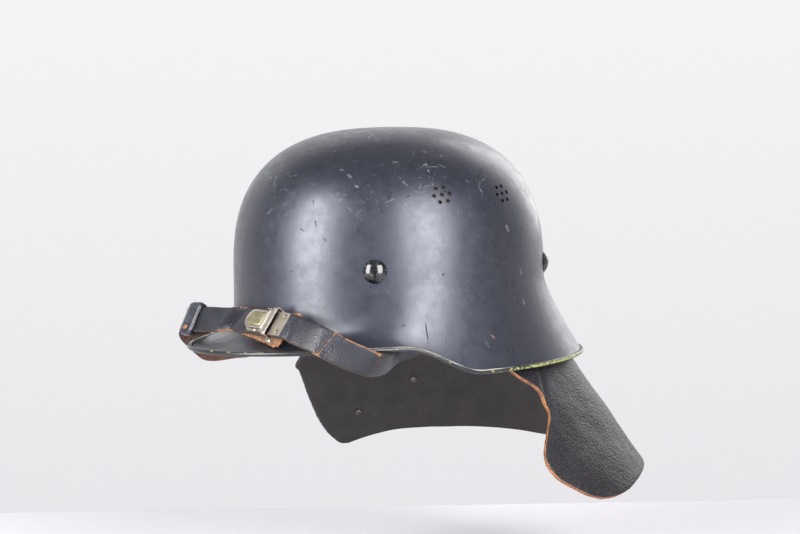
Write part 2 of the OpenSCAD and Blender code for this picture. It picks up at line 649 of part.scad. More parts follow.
// The press lever: a rounded plate with a raised field, hinged at the pin
lever_t = 1.4;
lever_lift = 0.8;
module buckle_lever() {
    color("#b3a987") at_buckle() difference() {
        union() {
            translate([pin_x + 1.4, 0, pin_z + lever_lift - lever_t / 2])
                round_end(lever_l, lever_w, lever_t);
            translate([pin_x - 0.8, 0, pin_z + lever_lift + lever_t / 2 - 0.1])
                round_end(lever_l - 4.6, lever_w - 4, 0.8);
            translate([pin_x, -lever_w / 2 + 0.2, pin_z]) rotate([-90, 0, 0])
                cylinder(d = 3.2, h = lever_w - 0.4, $fn = 48);
        }
        translate([pin_x, -lever_w, pin_z]) rotate([-90, 0, 0])
            cylinder(d = lever_pin_d + 2 * pin_gap, h = 2 * lever_w, $fn = 32);
    }
}
// The leaf spring under the lever
module lever_spring() {
    color("#8f8a7a") at_buckle() translate([pin_x - 12, -3, plate_top + 0.05]) cube([9, 6, 0.4]);
}
// The slider: an oval leather keeper round the strap where it turns down
slider_wall = 1.4;
slider_gap = 0.6;
slot_l = strap_w + 2 * slider_gap;
slot_h = strap_t + 2 * slider_gap;
slider_dir = unit([for (k = [0:2]) slider_to[k] - slider_from[k]]);
slider_mid = [for (k = [0:2]) mix(slider_from[k], slider_to[k], 0.7)];
module strap_slider() {
    color("#2f3033") translate(slider_mid)
        rotate([0, -asin(slider_dir[2]), atan2(slider_dir[1], slider_dir[0])])
            rotate([180 + slider_lean, 0, 0]) translate([-slider_l / 2, 0, 0]) rotate([90, 0, 90])
                linear_extrude(slider_l) rotate([0, 0, 90]) difference() {
                    slot_outline(slot_l + 2 * slider_wall, slot_h + 2 * slider_wall, 2.6);
                    slot_outline(slot_l, slot_h, 0.8);
                }
}
module slot_outline(w, h, r) {
    for (x = [-1, 1], y = [-1, 1])
        translate([x * (w / 2 - r), y * (h / 2 - r)]) circle(r = r, $fn = 32);
    square([w - 2 * r, h], center = true);
    square([w, h - 2 * r], center = true);
}

// The neck leather: a flared sheet inside the shell's rear edge, deeper at the sides
neck_top_z = 16;
neck_side_flare = 0.55;
function neck_k(a) = mix(neck_side_flare, neck_flare, smooth(abs(a), 90, 135));
function neck_r(a, z) = rim_r(a) - bead_r - neck_gap + neck_k(a) * (rim_z(a) - z);
// The sheet's outline, as angle and height: the front edges from the top down, the left one
// curled and the right one straight, and the hem from the right lobe over the rear to the left
left_edge = [[-262, 16], [-259, 4], [-255.2, -9.2], [-247.9, -20.4], [-246.6, -30.6], [-247.6, -39.6],
    [-252.1, -50.3], [-256.9, -62.6], [-257.7, -71.3], [-255.9, -79.4], [-252.6, -85.5],
    [-249, -91.2], [-245.6, hem_z - 11.4]];
right_edge = [[-91, 16], [-87, 0], [-83.1, -17.5], [-85.4, -22.7], [-89.6, -33.1], [-92.9, -43.5],
    [-96.4, -54.2], [-99.6, -65], [-103.6, -76.2], [-106.1, -82.1], [-109, -88], [-111.5, hem_z - 6.1]];
hem = [[-111.5, hem_z - 6.1], [-119, hem_z - 0.1], [-125, hem_z + 3.3], [-132, hem_z + 4.6],
    [-141, hem_z + 5.3], [-150, hem_z + 5], [-158, hem_z + 2.8], [-166, hem_z - 0.4],
    [-175, hem_z - 2.4], [-185, hem_z - 3], [-198, hem_z - 3.4], [-213, hem_z - 4.3],
    [-226, hem_z - 6.7], [-235, hem_z - 10.6], [-241.2, hem_z - 12.1], [-245.6, hem_z - 11.4]];
neck_cols = 40;
neck_rows = 14;
neck_outline = [for (e = [left_edge, right_edge, hem]) spline(e, 4)];
// A point a share s along a curve, with even steps of length
function curve_at(p, s) = let (l = [for (i = 0, d = 0; i < len(p); d = d + (i + 1 < len(p)
    ? norm(p[i + 1] - p[i]) : 0), i = i + 1) d], t = s * l[len(l) - 1],
    k = max([for (i = [0:len(p) - 2]) l[i] <= t ? i : 0]))
    mix(p[k], p[k + 1], min((t - l[k]) / (l[k + 1] - l[k]), 1));
neck_left = [for (j = [0:neck_rows]) curve_at(neck_outline[0], j / neck_rows)];
neck_right = [for (j = [0:neck_rows]) curve_at(neck_outline[1], j / neck_rows)];
neck_hem = [for (i = [0:neck_cols]) curve_at(neck_outline[2], i / neck_cols)];
// A grid place, blended from the outline's four sides
function neck_place(i, j) = let (c = i / neck_cols, s = j / neck_rows, l = neck_left, r = neck_right)
    mix(r[j], l[j], c) + s * (neck_hem[i] - mix(neck_hem[0], neck_hem[neck_cols], c));
function neck_point(i, j, d) = let (p = neck_place(i, j), a = p[0] < -180 ? p[0] + 360 : p[0],
    n = sqrt(1 + pow(neck_k(a), 2))) polar(a, neck_r(a, p[1]) + d / n, p[1] + d * neck_k(a) / n);
module neck_leather() {
    color("#4a4a4e") difference() {
        slab([for (i = [0:neck_cols]) [for (j = [0:neck_rows]) neck_point(i, j, neck_t / 2)]],
            [for (i = [0:neck_cols]) [for (j = [0:neck_rows]) neck_point(i, j, -neck_t / 2)]]);
        at_neck_studs() translate([0, 0, -neck_t])
            cylinder(d = neck_shank_d + 2 * pin_gap, h = neck_t + 0.2, $fn = 24);
    }
}
// Low domed studs inside the lobes, their shanks held in the leather
neck_stud_d = 5;
neck_stud_h = 1.6;
neck_shank_d = 2.4;
function neck_surface(a, z) = polar(a, neck_r(a, z), z);
function neck_normal(a, z) = unit(cross(neck_surface(a + 0.5, z) - neck_surface(a - 0.5, z),
    neck_surface(a, z + 0.5) - neck_surface(a, z - 0.5)));
module at_neck_studs() {
    for (s = [-1, 1], q = [[113.5, -61.4], [132.3, -35.7]])
        aim(neck_surface(s * q[0], q[1]), neck_normal(s * q[0], q[1])) children();
}
module neck_studs() {
    color("#b9b6a8") at_neck_studs() {
        translate([0, 0, -neck_t / 2]) cylinder(d = neck_shank_d, h = neck_t / 2, $fn = 24);
        translate([0, 0, -neck_t / 2 - seat - neck_stud_h / 2])
            cylinder(d = neck_stud_d, h = neck_stud_h / 2, $fn = 48);
        translate([0, 0, -neck_t / 2 - seat - neck_stud_h])
            cylinder(d1 = neck_stud_d * 0.6, d2 = neck_stud_d, h = neck_stud_h / 2, $fn = 48);
        translate([0, 0, -neck_t / 2 - 0.4]) cylinder(d = neck_shank_d, h = 0.5, $fn = 24);
    }
}
// Hanging tabs at the rear, each held to the band by a stud
tab_w = 14;
tab_t = 2;
tab_stud_d = 4;
tab_base = seat + leather_t + 0.6;
tab_seat = neck_t + 0.5;
// Radius and height of a tab's mid surface, from the band down to the neck leather
function tab_path(a) = [[band_r(a) + tab_base + tab_t / 2, tab_z + 7],
    [band_r(a) + tab_base + tab_t / 2, tab_z - 6],
    [neck_r(a, neck_top_z + 6) - tab_seat, neck_top_z + 6],
    [neck_r(a, neck_top_z - 12) - tab_seat, neck_top_z - 12]];
module neck_tabs() {
    color("#4a4a4e") for (a = tab_a) difference() {
        loft([for (i = [0:3]) [for (q = [[-1, -1], [1, -1], [1, 1], [-1, 1]])
            let (b = a + q[0] * tab_w / 2 / tab_path(a)[i][0] * 180 / PI, p = tab_path(b)[i])
            polar(b, p[0] + q[1] * tab_t / 2, p[1])]]);
        on_band(a, tab_z) cylinder(d = tab_stud_d + 1.2, h = 12, $fn = 32);
    }
}
module tab_studs() {
    color("#8a8472") for (a = tab_a) on_band(a, tab_z) {
        translate([0, 0, -band_t - 1])
            cylinder(d = tab_stud_d, h = band_t + 1 + tab_base + tab_t + 0.7, $fn = 32);
        translate([0, 0, tab_base + tab_t + 0.6]) cylinder(d = 9, h = 1.2, $fn = 48);
    }
}

shell();
liner_screws();
liner_nuts();
liner_spacers();
liner_band();
liner_leather();
liner_fingers();
liner_rivets();
drawstring();
lug_left();
lug_right();
lug_rivets();
strap_ring_left();
strap_ring_right();
chin_strap_left();
chin_strap_right();
buckle_backing();
strap_slider();
buckle_catch();
catch_rivets();
buckle_bridge();
buckle_base();
base_rivets();
lever_pin();
lever_spring();
buckle_lever();
neck_leather();
neck_studs();
neck_tabs();
tab_studs();
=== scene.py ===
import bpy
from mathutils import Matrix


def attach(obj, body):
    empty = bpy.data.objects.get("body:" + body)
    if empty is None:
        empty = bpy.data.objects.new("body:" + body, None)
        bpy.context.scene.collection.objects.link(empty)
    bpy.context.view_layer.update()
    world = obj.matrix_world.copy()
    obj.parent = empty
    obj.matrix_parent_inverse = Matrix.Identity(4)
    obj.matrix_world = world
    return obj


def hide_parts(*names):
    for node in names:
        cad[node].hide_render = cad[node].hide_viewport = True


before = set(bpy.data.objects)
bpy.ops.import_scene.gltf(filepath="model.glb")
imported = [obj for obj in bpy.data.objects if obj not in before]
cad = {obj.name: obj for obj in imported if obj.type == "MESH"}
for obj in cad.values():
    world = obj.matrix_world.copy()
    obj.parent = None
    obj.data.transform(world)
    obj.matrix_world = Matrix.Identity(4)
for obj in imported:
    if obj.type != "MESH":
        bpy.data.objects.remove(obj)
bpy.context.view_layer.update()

import math

import bmesh
import bpy
import numpy as np
from mathutils import Matrix, Vector, noise

# The shell: one sheet of metal pressed over a die, with vents punched in its sides and its edge
# rolled into a bead. It is sprayed with a blue-black semi-gloss paint, which years of service
# have scratched, chipped and rubbed thin.
MM = 0.001
DOME_HALF_W, DOME_FRONT, DOME_REAR = 108, 113, 110
WAIST_Z, DOME_H, PLATE_T, BEAD_R = 53, 106, 1.5, 1.6
VISOR_REACH, VISOR_HALF_W, SKIRT_HALF_W, REAR_REACH = 152, 112.5, 114.5, 149
VISOR_Z, TEMPLE_Z, SKIRT_Z, REAR_Z = 9.6, 12.1, -6.1, -3.2
VISOR_SLOPE, SIDE_SLOPE, REAR_SLOPE = 14, 67.5, 55
SIDE_POWER, CROWN_POWER = 2.6, 2.76
TEMPLE_START, TEMPLE_END = 58.7, 86.7
VISOR_CORNER, SKIRT_CORNER = 1, 0.31
VENT_D, VENT_PITCH, VENT_Z = 2.8, 5.7, 111.3
VENT_ANGLES = (75.3, 105, -75.3, -105)


def smooth(x, a, b):
    u = np.clip((np.asarray(x, float) - a) / (b - a), 0, 1)
    return u * u * (3 - 2 * u)


def mix(a, b, w):
    return a + (b - a) * w


def unit(v):
    return v / np.linalg.norm(v, axis=-1, keepdims=True)


def polar(a, r, z):
    t = np.radians(a)
    return np.stack(np.broadcast_arrays(r * np.sin(t), -r * np.cos(t), z), -1)


def ripple(p, *waves):
    """A smooth random height at a place, from waves given as (height, length), all in mm."""
    return sum(height * noise.noise(Vector(p) / length) for height, length in waves)


def ellipse_r(half_w, reach, a):
    t = np.radians(a)
    return 1 / np.sqrt((np.sin(t) / half_w) ** 2 + (np.cos(t) / reach) ** 2)


def waist_r(a):
    return ellipse_r(DOME_HALF_W, np.where(np.cos(np.radians(a)) > 0, DOME_FRONT, DOME_REAR), a)


def rim_r(a):
    skirt = np.where(np.cos(np.radians(a)) > 0, VISOR_REACH, REAR_REACH)
    return mix(ellipse_r(VISOR_HALF_W, VISOR_REACH, a), ellipse_r(SKIRT_HALF_W, skirt, a),
               smooth(abs(a), TEMPLE_START, TEMPLE_END))


def rim_z(a):
    return mix(mix(VISOR_Z, TEMPLE_Z, smooth(abs(a), 0, 60)),
               mix(SKIRT_Z, REAR_Z, smooth(abs(a), 90, 180)),
               smooth(abs(a), TEMPLE_START, TEMPLE_END))


def rim_slope(a):
    return mix(VISOR_SLOPE, mix(SIDE_SLOPE, REAR_SLOPE, smooth(abs(a), 90, 160)),
               smooth(abs(a), 30, 75))


def shell_profile(a, dome_rows, flare_rows):
    """The outer wall at an angle, as (radius, height) from the crown to the edge."""
    w, r, z = waist_r(a), rim_r(a), rim_z(a)
    c = mix(VISOR_CORNER, SKIRT_CORNER, smooth(abs(a), 30, 75))
    cz = min(z + (r - w) * math.tan(math.radians(rim_slope(a))), WAIST_Z)
    e = np.radians(90 * (1 - np.linspace(0, 1, dome_rows + 1)) ** 1.45)
    dome = np.stack([w * np.cos(e) ** (2 / SIDE_POWER),
                     WAIST_Z + DOME_H * np.sin(e) ** (2 / CROWN_POWER)], -1)
    u = np.linspace(0, 1, flare_rows + 1)[1:, None]
    p = [np.array(q, float) for q in ((w, WAIST_Z), (w, mix(WAIST_Z, cz, c)),
                                      (mix(r, w, c), mix(z, cz, c)), (r, z))]
    flare = ((1 - u) ** 3 * p[0] + 3 * u * (1 - u) ** 2 * p[1]
             + 3 * u * u * (1 - u) * p[2] + u ** 3 * p[3])
    return np.concatenate([dome, flare])


def inset(profile, d):
    """A profile that runs downwards, moved by d towards the wearer."""
    t = unit(np.gradient(profile, axis=0))
    return profile + d * np.stack([t[:, 1], -t[:, 0]], -1)


def placed(name, data):
    made = bpy.data.objects.new(name, data)
    bpy.context.scene.collection.objects.link(made)
    return made


def shade(mesh, sharp):
    mesh.polygons.foreach_set("use_smooth", [True] * len(mesh.polygons))
    mesh.set_sharp_from_angle(angle=math.radians(sharp))


def skin_object(name, points, faces, finishes, kinds=None, wear=None, sharp=40):
    """An object from points in mm: one vertex at each pole, faces outward, smooth to an angle.
    kinds gives each face's finish, and wear each point's rubbing."""
    mesh = bpy.data.meshes.new(name)
    mesh.from_pydata((points * MM).tolist(), [], faces)
    if kinds is not None:
        mesh.polygons.foreach_set("material_index", kinds)
    if wear is not None:
        mesh.attributes.new("wear", "FLOAT", "POINT").data.foreach_set("value", wear)
    shape = bmesh.new()
    shape.from_mesh(mesh)
    bmesh.ops.remove_doubles(shape, verts=shape.verts, dist=2e-6)
    bmesh.ops.recalc_face_normals(shape, faces=shape.faces)
    shape.to_mesh(mesh)
    shape.free()
    shade(mesh, sharp)
    for finish in finishes:
        mesh.materials.append(finish)
    return placed(name, mesh)


def loft_object(name, points, finishes, slots=None, around=False, closed=True, ends=False,
                wear=None, sharp=40):
    """A skin over points[i][j] in mm. closed joins the last j to the first, around the last i
    to the first, and ends caps both ends. slots gives the finish of each strip j."""
    m, n = points.shape[:2]
    i, j = np.meshgrid(np.arange(m if around else m - 1), np.arange(n if closed else n - 1),
                       indexing="ij")
    corners = [(i, j), (i + 1, j), (i + 1, j + 1), (i, j + 1)]
    quads = np.stack([(p % m) * n + q % n for p, q in corners], -1).reshape(-1, 4).tolist()
    kinds = (np.zeros(i.shape, int) if slots is None else np.asarray(slots)[j]).ravel().tolist()
    if ends:
        quads += [list(range(n))[::-1], [(m - 1) * n + k for k in range(n)]]
        kinds += [kinds[-1], kinds[-1]]
    return skin_object(name, points.reshape(-1, 3), quads, finishes, kinds,
                       None if wear is None else wear.ravel(), sharp)


def hue(code):
    """An sRGB hex colour as linear light."""
    part = [int(code[k:k + 2], 16) / 255 for k in (1, 3, 5)]
    return [p / 12.92 if p <= 0.04045 else ((p + 0.055) / 1.055) ** 2.4 for p in part] + [1]


def feed(node, links):
    """Sets a node's inputs to values, or links them to outputs or to other nodes' first ones."""
    for key, value in links.items():
        if isinstance(value, bpy.types.Node):
            value = next(output for output in value.outputs if output.enabled)
        if isinstance(value, bpy.types.NodeSocket):
            node.id_data.links.new(value, node.inputs[key])
        else:
            node.inputs[key].default_value = value


def add(tree, kind, links=None, **settings):
    """Adds a shader node with its settings, and feeds its inputs."""
    made = tree.nodes.new("ShaderNode" + kind)
    for key, value in settings.items():
        setattr(made, key, value)
    feed(made, links or {})
    return made


def new_finish(name, roughness, metallic=0.0):
    finish = bpy.data.materials.new(name)
    finish.use_nodes = True
    shader = finish.node_tree.nodes["Principled BSDF"]
    feed(shader, {"Roughness": roughness, "Metallic": metallic})
    where = add(finish.node_tree, "TexCoord").outputs["Object"]
    return finish, finish.node_tree, shader, where


def speckled(name, roughness, metallic, dark, light, speckle_mm, detail, coarse=0.5,
             dent_mm=0.0):
    """A finish in two tones, mixed by a noise of the speckles' size, which may dent it too.
    roughness is one value, or a pair for the dark and the light speckles."""
    spread = roughness if isinstance(roughness, tuple) else None
    finish, tree, shader, where = new_finish(name, roughness if spread is None else 0.5, metallic)
    speckle = add(tree, "TexNoise", {
        "Vector": where, "Scale": 1 / (speckle_mm * MM), "Detail": detail, "Roughness": coarse})
    tone = add(tree, "Mix", {"Factor": speckle, 6: hue(dark), 7: hue(light)}, data_type="RGBA")
    feed(shader, {"Base Color": tone})
    if spread:
        gloss = add(tree, "MapRange", {
            "Value": speckle, "From Min": 0.3, "From Max": 0.7, "To Min": spread[0],
            "To Max": spread[1]})
        feed(shader, {"Roughness": gloss})
    if dent_mm:
        dent = add(tree, "Bump", {"Strength": 1.0, "Distance": dent_mm * MM, "Height": speckle})
        feed(shader, {"Normal": dent})
    return finish


def crack(tree, where, start, end, half_w):
    """1 on a hairline crack between two points given in mm, 0 away from it. It wanders by up to
    0.8 mm, in bends of about 6 mm."""
    a, b = Vector(start) * MM, Vector(end) * MM
    bend = add(tree, "TexNoise", {"Vector": where, "Scale": 1 / (6 * MM)}).outputs[1]
    bent = add(tree, "VectorMath", {
        0: bend, 1: (1.6 * MM,) * 3, 2: where}, operation="MULTIPLY_ADD")
    shift = add(tree, "VectorMath", {0: bent, 1: a + Vector((0.8 * MM,) * 3)}, operation="SUBTRACT")
    share = add(tree, "VectorMath", {
        0: shift, 1: (b - a) / (b - a).length_squared}, operation="DOT_PRODUCT")
    held = add(tree, "Math", {0: share, 1: 0.0}, operation="ADD", use_clamp=True)
    near = add(tree, "VectorMath", {0: b - a, "Scale": held}, operation="SCALE")
    off = add(tree, "VectorMath", {0: shift, 1: near}, operation="DISTANCE")
    return add(tree, "MapRange", {
        "Value": off, "From Min": half_w * MM, "From Max": half_w * MM * 1.6, "To Min": 1.0,
        "To Max": 0.0})


# Sprayed enamel over pressed metal: an orange-peel skin that gives broad, soft highlights, with
# pale scratches, dark pits and a thin worn patch at the crown. Most real scratches and pits are too
# fine to show, so these are drawn 0.3 mm wide and more.
paint, tree, shader, where = new_finish("blue_black_enamel", 0.5)
feed(shader, {"Specular Tint": hue("#d2d9ff"), "Coat IOR": 1.5})
cloud = add(tree, "TexNoise", {"Vector": where, "Scale": 1 / (45 * MM), "Detail": 4.0})
body = add(tree, "Mix", {"Factor": cloud, 6: hue("#0a0c11"), 7: hue("#11141b")}, data_type="RGBA")
lane = add(tree, "Mapping", {
    "Vector": where, "Rotation": (0.5, 0.9, 0.3),
    "Scale": (1 / (0.9 * MM), 1 / (26 * MM), 1 / (26 * MM))})
streak = add(tree, "TexNoise", {"Vector": lane, "Scale": 1.0, "Detail": 1.0})
straight = add(tree, "MapRange", {
    "Value": streak, "From Min": 0.7, "From Max": 0.78, "To Max": 0.6})
sway = add(tree, "TexNoise", {"Vector": where, "Scale": 1 / (12 * MM)}).outputs[1]
swayed = add(tree, "VectorMath", {0: sway, 1: (9 * MM,) * 3, 2: where}, operation="MULTIPLY_ADD")
web = add(tree, "TexVoronoi", {
    "Vector": swayed, "Scale": 1 / (11 * MM)}, feature="DISTANCE_TO_EDGE")
hairline = add(tree, "MapRange", {
    "Value": web, "From Min": 0.01, "From Max": 0.035, "To Min": 1.0, "To Max": 0.0})
broken = add(tree, "TexNoise", {"Vector": where, "Scale": 1 / (3.5 * MM), "Detail": 2.0})
fragment = add(tree, "MapRange", {"Value": broken, "From Min": 0.52, "From Max": 0.66})
curved = add(tree, "Math", {0: hairline, 1: fragment}, operation="MULTIPLY")
strand = add(tree, "Math", {0: straight, 1: curved}, operation="MAXIMUM")
patch = add(tree, "TexNoise", {"Vector": where, "Scale": 1 / (24 * MM), "Detail": 2.0})
patch_on = add(tree, "MapRange", {"Value": patch, "From Min": 0.44, "From Max": 0.6})
height_at = add(tree, "SeparateXYZ", {0: where})
upper = add(tree, "MapRange", {
    "Value": height_at.outputs[2], "From Min": 92 * MM, "From Max": 118 * MM, "To Min": 0.16,
    "To Max": 0.8})
some = add(tree, "Math", {0: patch_on, 1: upper}, operation="MULTIPLY")
scratch = add(tree, "Math", {0: strand, 1: some}, operation="MULTIPLY")
scratched = add(tree, "Mix", {"Factor": scratch, 6: body, 7: hue("#6f7277")}, data_type="RGBA")
pit = add(tree, "TexVoronoi", {"Vector": where, "Scale": 1 / (7.5 * MM)})
pit_near = add(tree, "MapRange", {
    "Value": pit, "From Min": 0.07, "From Max": 0.12, "To Min": 1.0, "To Max": 0.0})
pit_pick = add(tree, "SeparateColor", {0: pit.outputs["Color"]})
pit_some = add(tree, "Math", {0: pit_pick.outputs[0], 1: 0.8}, operation="GREATER_THAN")
pitted = add(tree, "Math", {0: pit_near, 1: pit_some}, operation="MULTIPLY")
pit_tone = add(tree, "Mix", {
    "Factor": pit_pick.outputs[1], 6: hue("#14110f"), 7: hue("#4a4038")}, data_type="RGBA")
spotted = add(tree, "Mix", {"Factor": pitted, 6: scratched, 7: pit_tone}, data_type="RGBA")
crown = add(tree, "MapRange", {
    "Value": height_at.outputs[2], "From Min": 157.2 * MM, "From Max": 159 * MM})
rub = add(tree, "TexNoise", {"Vector": where, "Scale": 1 / (11 * MM), "Detail": 5.0})
rub_on = add(tree, "MapRange", {"Value": rub, "From Min": 0.52, "From Max": 0.6})
worn = add(tree, "Math", {0: crown, 1: rub_on}, operation="MULTIPLY")
rubbed = add(tree, "Mix", {"Factor": worn, 6: spotted, 7: hue("#5b4038")}, data_type="RGBA")
# The marks that have a place of their own, as (start, end, half the width, colour) in mm, and
# the cracks in the paint over the visor and on the left side.
GREY_SCUFF, BROWN_CHIP, RUBBED_CROWN = "#3d3f45", "#5f483f", "#4a3431"
marked = rubbed
for start, end, half_w, tone in (((103.3, 23.4, 89), (103.3, 25, 86.5), 0.9, GREY_SCUFF),
                                 ((101.8, 35.8, 59.5), (102.1, 37, 56), 0.7, GREY_SCUFF),
                                 ((102.8, 37.5, 38), (102.9, 38.5, 36), 0.9, GREY_SCUFF),
                                 ((95, -4, 120.5), (95.2, -1, 118), 0.35, GREY_SCUFF),
                                 ((108, -9, 25), (112, 1, 9), 0.3, GREY_SCUFF),
                                 ((51.8, -76, 129.5), (54, -73, 128), 0.5, GREY_SCUFF),
                                 ((58.6, -74.2, 126), (60.5, -73, 123.5), 0.8, GREY_SCUFF),
                                 ((72, -46, 133.6), (73.5, -44.5, 133), 0.6, GREY_SCUFF),
                                 ((83, -30, 129), (86.5, -20, 130.5), 0.4, GREY_SCUFF),
                                 ((82.8, -60.5, 107), (84.6, -55.5, 108.8), 0.3, BROWN_CHIP),
                                 ((110.2, 2.5, 17.5), (111, 5.5, 15.6), 0.5, BROWN_CHIP),
                                 ((41.6, -7, 155.2), (41.2, 11, 155.2), 1.3, RUBBED_CROWN)):
    marked = add(tree, "Mix", {
        "Factor": crack(tree, where, start, end, half_w), 6: marked, 7: hue(tone)},
        data_type="RGBA")
CRACK_HALF_W = 0.3
flaws = pitted
for start, end in (((45.5, -93.3, 109.1), (52.2, -95.6, 92.1)),
                   ((52, -95.4, 89), (59.4, -92.8, 82.4)),
                   ((42.2, -101.1, 90.2), (51, -96.4, 84)),
                   ((102.8, -44.8, 27.4), (105.6, -45.2, 14.7))):
    flaws = add(tree, "Math", {
        0: flaws, 1: crack(tree, where, start, end, CRACK_HALF_W)}, operation="MAXIMUM")
cracked = add(tree, "Mix", {"Factor": flaws, 6: marked, 7: hue("#141213")}, data_type="RGBA")
for socket, whole in (("Specular IOR Level", 0.4), ("Coat Weight", 0.85)):
    dull = add(tree, "MapRange", {"Value": flaws, "To Min": whole, "To Max": 0.08})
    feed(shader, {socket: dull})
haze = add(tree, "TexNoise", {
    "Vector": where, "Scale": 1 / (9 * MM), "Detail": 5.0, "Roughness": 0.7})
gloss = add(tree, "MapRange", {
    "Value": haze, "From Min": 0.3, "From Max": 0.7, "To Min": 0.42, "To Max": 0.54})
sheen = add(tree, "MapRange", {
    "Value": haze, "From Min": 0.36, "From Max": 0.64, "To Min": 0.27, "To Max": 0.39})
peel = add(tree, "TexNoise", {"Vector": where, "Scale": 1 / (2.2 * MM), "Detail": 2.0})
peel_dent = add(tree, "Math", {0: pitted, 1: -1.2, 2: peel}, operation="MULTIPLY_ADD")
skin = add(tree, "Bump", {"Strength": 1.0, "Distance": 0.025 * MM, "Height": peel_dent})
feed(shader, {"Base Color": cracked, "Roughness": gloss, "Coat Roughness": sheen,
              "Normal": skin, "Coat Normal": skin})

# Black enamel on the rolled edge. Along its crest runs a thin pale line, partly metal rubbed
# bare and partly a painted highlight where the crest catches the light. Below that it has flaked
# to a yellow-green coat, most of all from about the middle of the left side to the rear. The wear
# attribute is the share of the way round the bead.
edge_paint, tree, shader, where = new_finish("flaked_edge_enamel", 0.32)
grain = add(tree, "TexNoise", {
    "Vector": where, "Scale": 1 / (2.6 * MM), "Detail": 4.0, "Roughness": 0.65})
turn = add(tree, "Attribute", attribute_name="wear")
ragged = add(tree, "Math", {0: grain, 1: 0.1, 2: turn.outputs["Fac"]}, operation="MULTIPLY_ADD")
crest = add(tree, "Math", {0: ragged, 1: 0.44}, operation="SUBTRACT")
off_crest = add(tree, "Math", {0: crest}, operation="ABSOLUTE")
line = add(tree, "MapRange", {
    "Value": off_crest, "From Min": 0.045, "From Max": 0.09, "To Min": 1.0, "To Max": 0.0})
rubs = add(tree, "TexNoise", {"Vector": where, "Scale": 1 / (16 * MM), "Detail": 3.0})
rub_on = add(tree, "MapRange", {"Value": rubs, "From Min": 0.36, "From Max": 0.56, "To Min": 0.25})
place = add(tree, "SeparateXYZ", {0: where})
rear_left = add(tree, "MapRange", {
    "Value": place.outputs[1], "From Min": -12 * MM, "From Max": 34 * MM, "To Min": 0.0,
    "To Max": 0.17})
kept = add(tree, "Math", {
    0: rear_left, 1: -6.0, 2: rub_on}, operation="MULTIPLY_ADD", use_clamp=True)
# The pale crest line is rubbed bare metal and painted highlight together.
bare_and_highlight = add(tree, "Math", {0: line, 1: kept}, operation="MULTIPLY")
left_only = add(tree, "MapRange", {
    "Value": place.outputs[0], "From Min": 30 * MM, "From Max": 60 * MM})
visor = add(tree, "MapRange", {
    "Value": place.outputs[1], "From Min": -80 * MM, "From Max": -115 * MM, "To Min": -0.03,
    "To Max": 0.0})
bias = add(tree, "Math", {0: rear_left, 1: left_only, 2: visor}, operation="MULTIPLY_ADD")
flaked = add(tree, "Math", {0: bias, 1: grain}, operation="ADD")
flake = add(tree, "MapRange", {"Value": flaked, "From Min": 0.6, "From Max": 0.63})
below = add(tree, "Math", {0: ragged, 1: 0.66}, operation="SUBTRACT")
off_band = add(tree, "Math", {0: below}, operation="ABSOLUTE")
wide = add(tree, "Math", {0: rear_left, 1: -0.4, 2: off_band}, operation="MULTIPLY_ADD")
under = add(tree, "MapRange", {
    "Value": wide, "From Min": 0.04, "From Max": 0.08, "To Min": 1.0, "To Max": 0.0})
flake_on = add(tree, "Math", {0: flake, 1: under}, operation="MULTIPLY")
# The crest's pale tone stands for bare metal and for a painted highlight.
edge_tone = add(tree, "Mix", {
    "Factor": bare_and_highlight, 6: hue("#17181b"), 7: hue("#b0aea6")}, data_type="RGBA")
green = add(tree, "Mix", {"Factor": grain, 6: hue("#4b4c30"), 7: hue("#a9ab62")}, data_type="RGBA")
edge_flake = add(tree, "Mix", {"Factor": flake_on, 6: edge_tone, 7: green}, data_type="RGBA")
chip = add(tree, "Bump", {"Strength": 1.0, "Distance": 0.1 * MM, "Height": grain})
feed(shader, {"Base Color": edge_flake, "Normal": chip})

# The same enamel inside, sprayed thin: it gives no clear highlight, and grey-brown dust lies on
# it in patches about 18 mm wide.
inside_paint = speckled("dull_inside_enamel", 0.6, 0.0, "#1d1f22", "#3b3a38", speckle_mm=18,
                        detail=5.0)

# The bead rolls outwards from where it leaves the wall, and closes to BEAD_TURN degrees.
SHELL_STEPS, DOME_ROWS, FLARE_ROWS, BEAD_ROWS = 240, 34, 26, 12
BEAD_START, BEAD_TURN, WALL_WAVE, WALL_MID, SHELL_SHARP = 60, 300, (0.22, 38), (0, 0, 40), 35
angles = np.arange(SHELL_STEPS) * 360 / SHELL_STEPS - 180
columns = []
for a in angles:
    wall = shell_profile(a, DOME_ROWS, FLARE_ROWS)
    start = 180 - rim_slope(a) + BEAD_START
    turn = np.radians(start - np.linspace(0, BEAD_TURN, BEAD_ROWS + 1))
    bead = np.array([rim_r(a), rim_z(a)]) + BEAD_R * np.stack([np.cos(turn), np.sin(turn)], -1)
    inner = inset(wall, PLATE_T)
    inner[0] = (0, inner[1, 1])
    column = np.concatenate([wall[:-1], bead, inner[:0:-1], inner[:1]])
    columns.append(polar(a, column[:, 0], column[:, 1]))
shell_points = np.array(columns)
for ring in shell_points:
    for k, p in enumerate(ring):
        p += unit(p - WALL_MID) * ripple(p, WALL_WAVE) * min(1, k / 3)
wall_rows = DOME_ROWS + FLARE_ROWS
bands = [0] * (wall_rows + 2) + [1] * (BEAD_ROWS - 1) + [2] * (wall_rows + 1)
round_bead = np.zeros(shell_points.shape[:2])
round_bead[:, wall_rows:wall_rows + BEAD_ROWS + 1] = np.linspace(0, 1, BEAD_ROWS + 1)
shell = loft_object("shell_pressing", shell_points, [paint, edge_paint, inside_paint], bands,
                    around=True, closed=False, wear=round_bead, sharp=SHELL_SHARP)


def dome_point(a, z):
    e = np.arcsin(((z - WAIST_Z) / DOME_H) ** (CROWN_POWER / 2))
    return polar(a, waist_r(a) * np.cos(e) ** (2 / SIDE_POWER), z)


def dome_normal(a, z):
    return unit(np.cross(dome_point(a + 0.5, z) - dome_point(a - 0.5, z),
                         dome_point(a, z + 0.5) - dome_point(a, z - 0.5)))


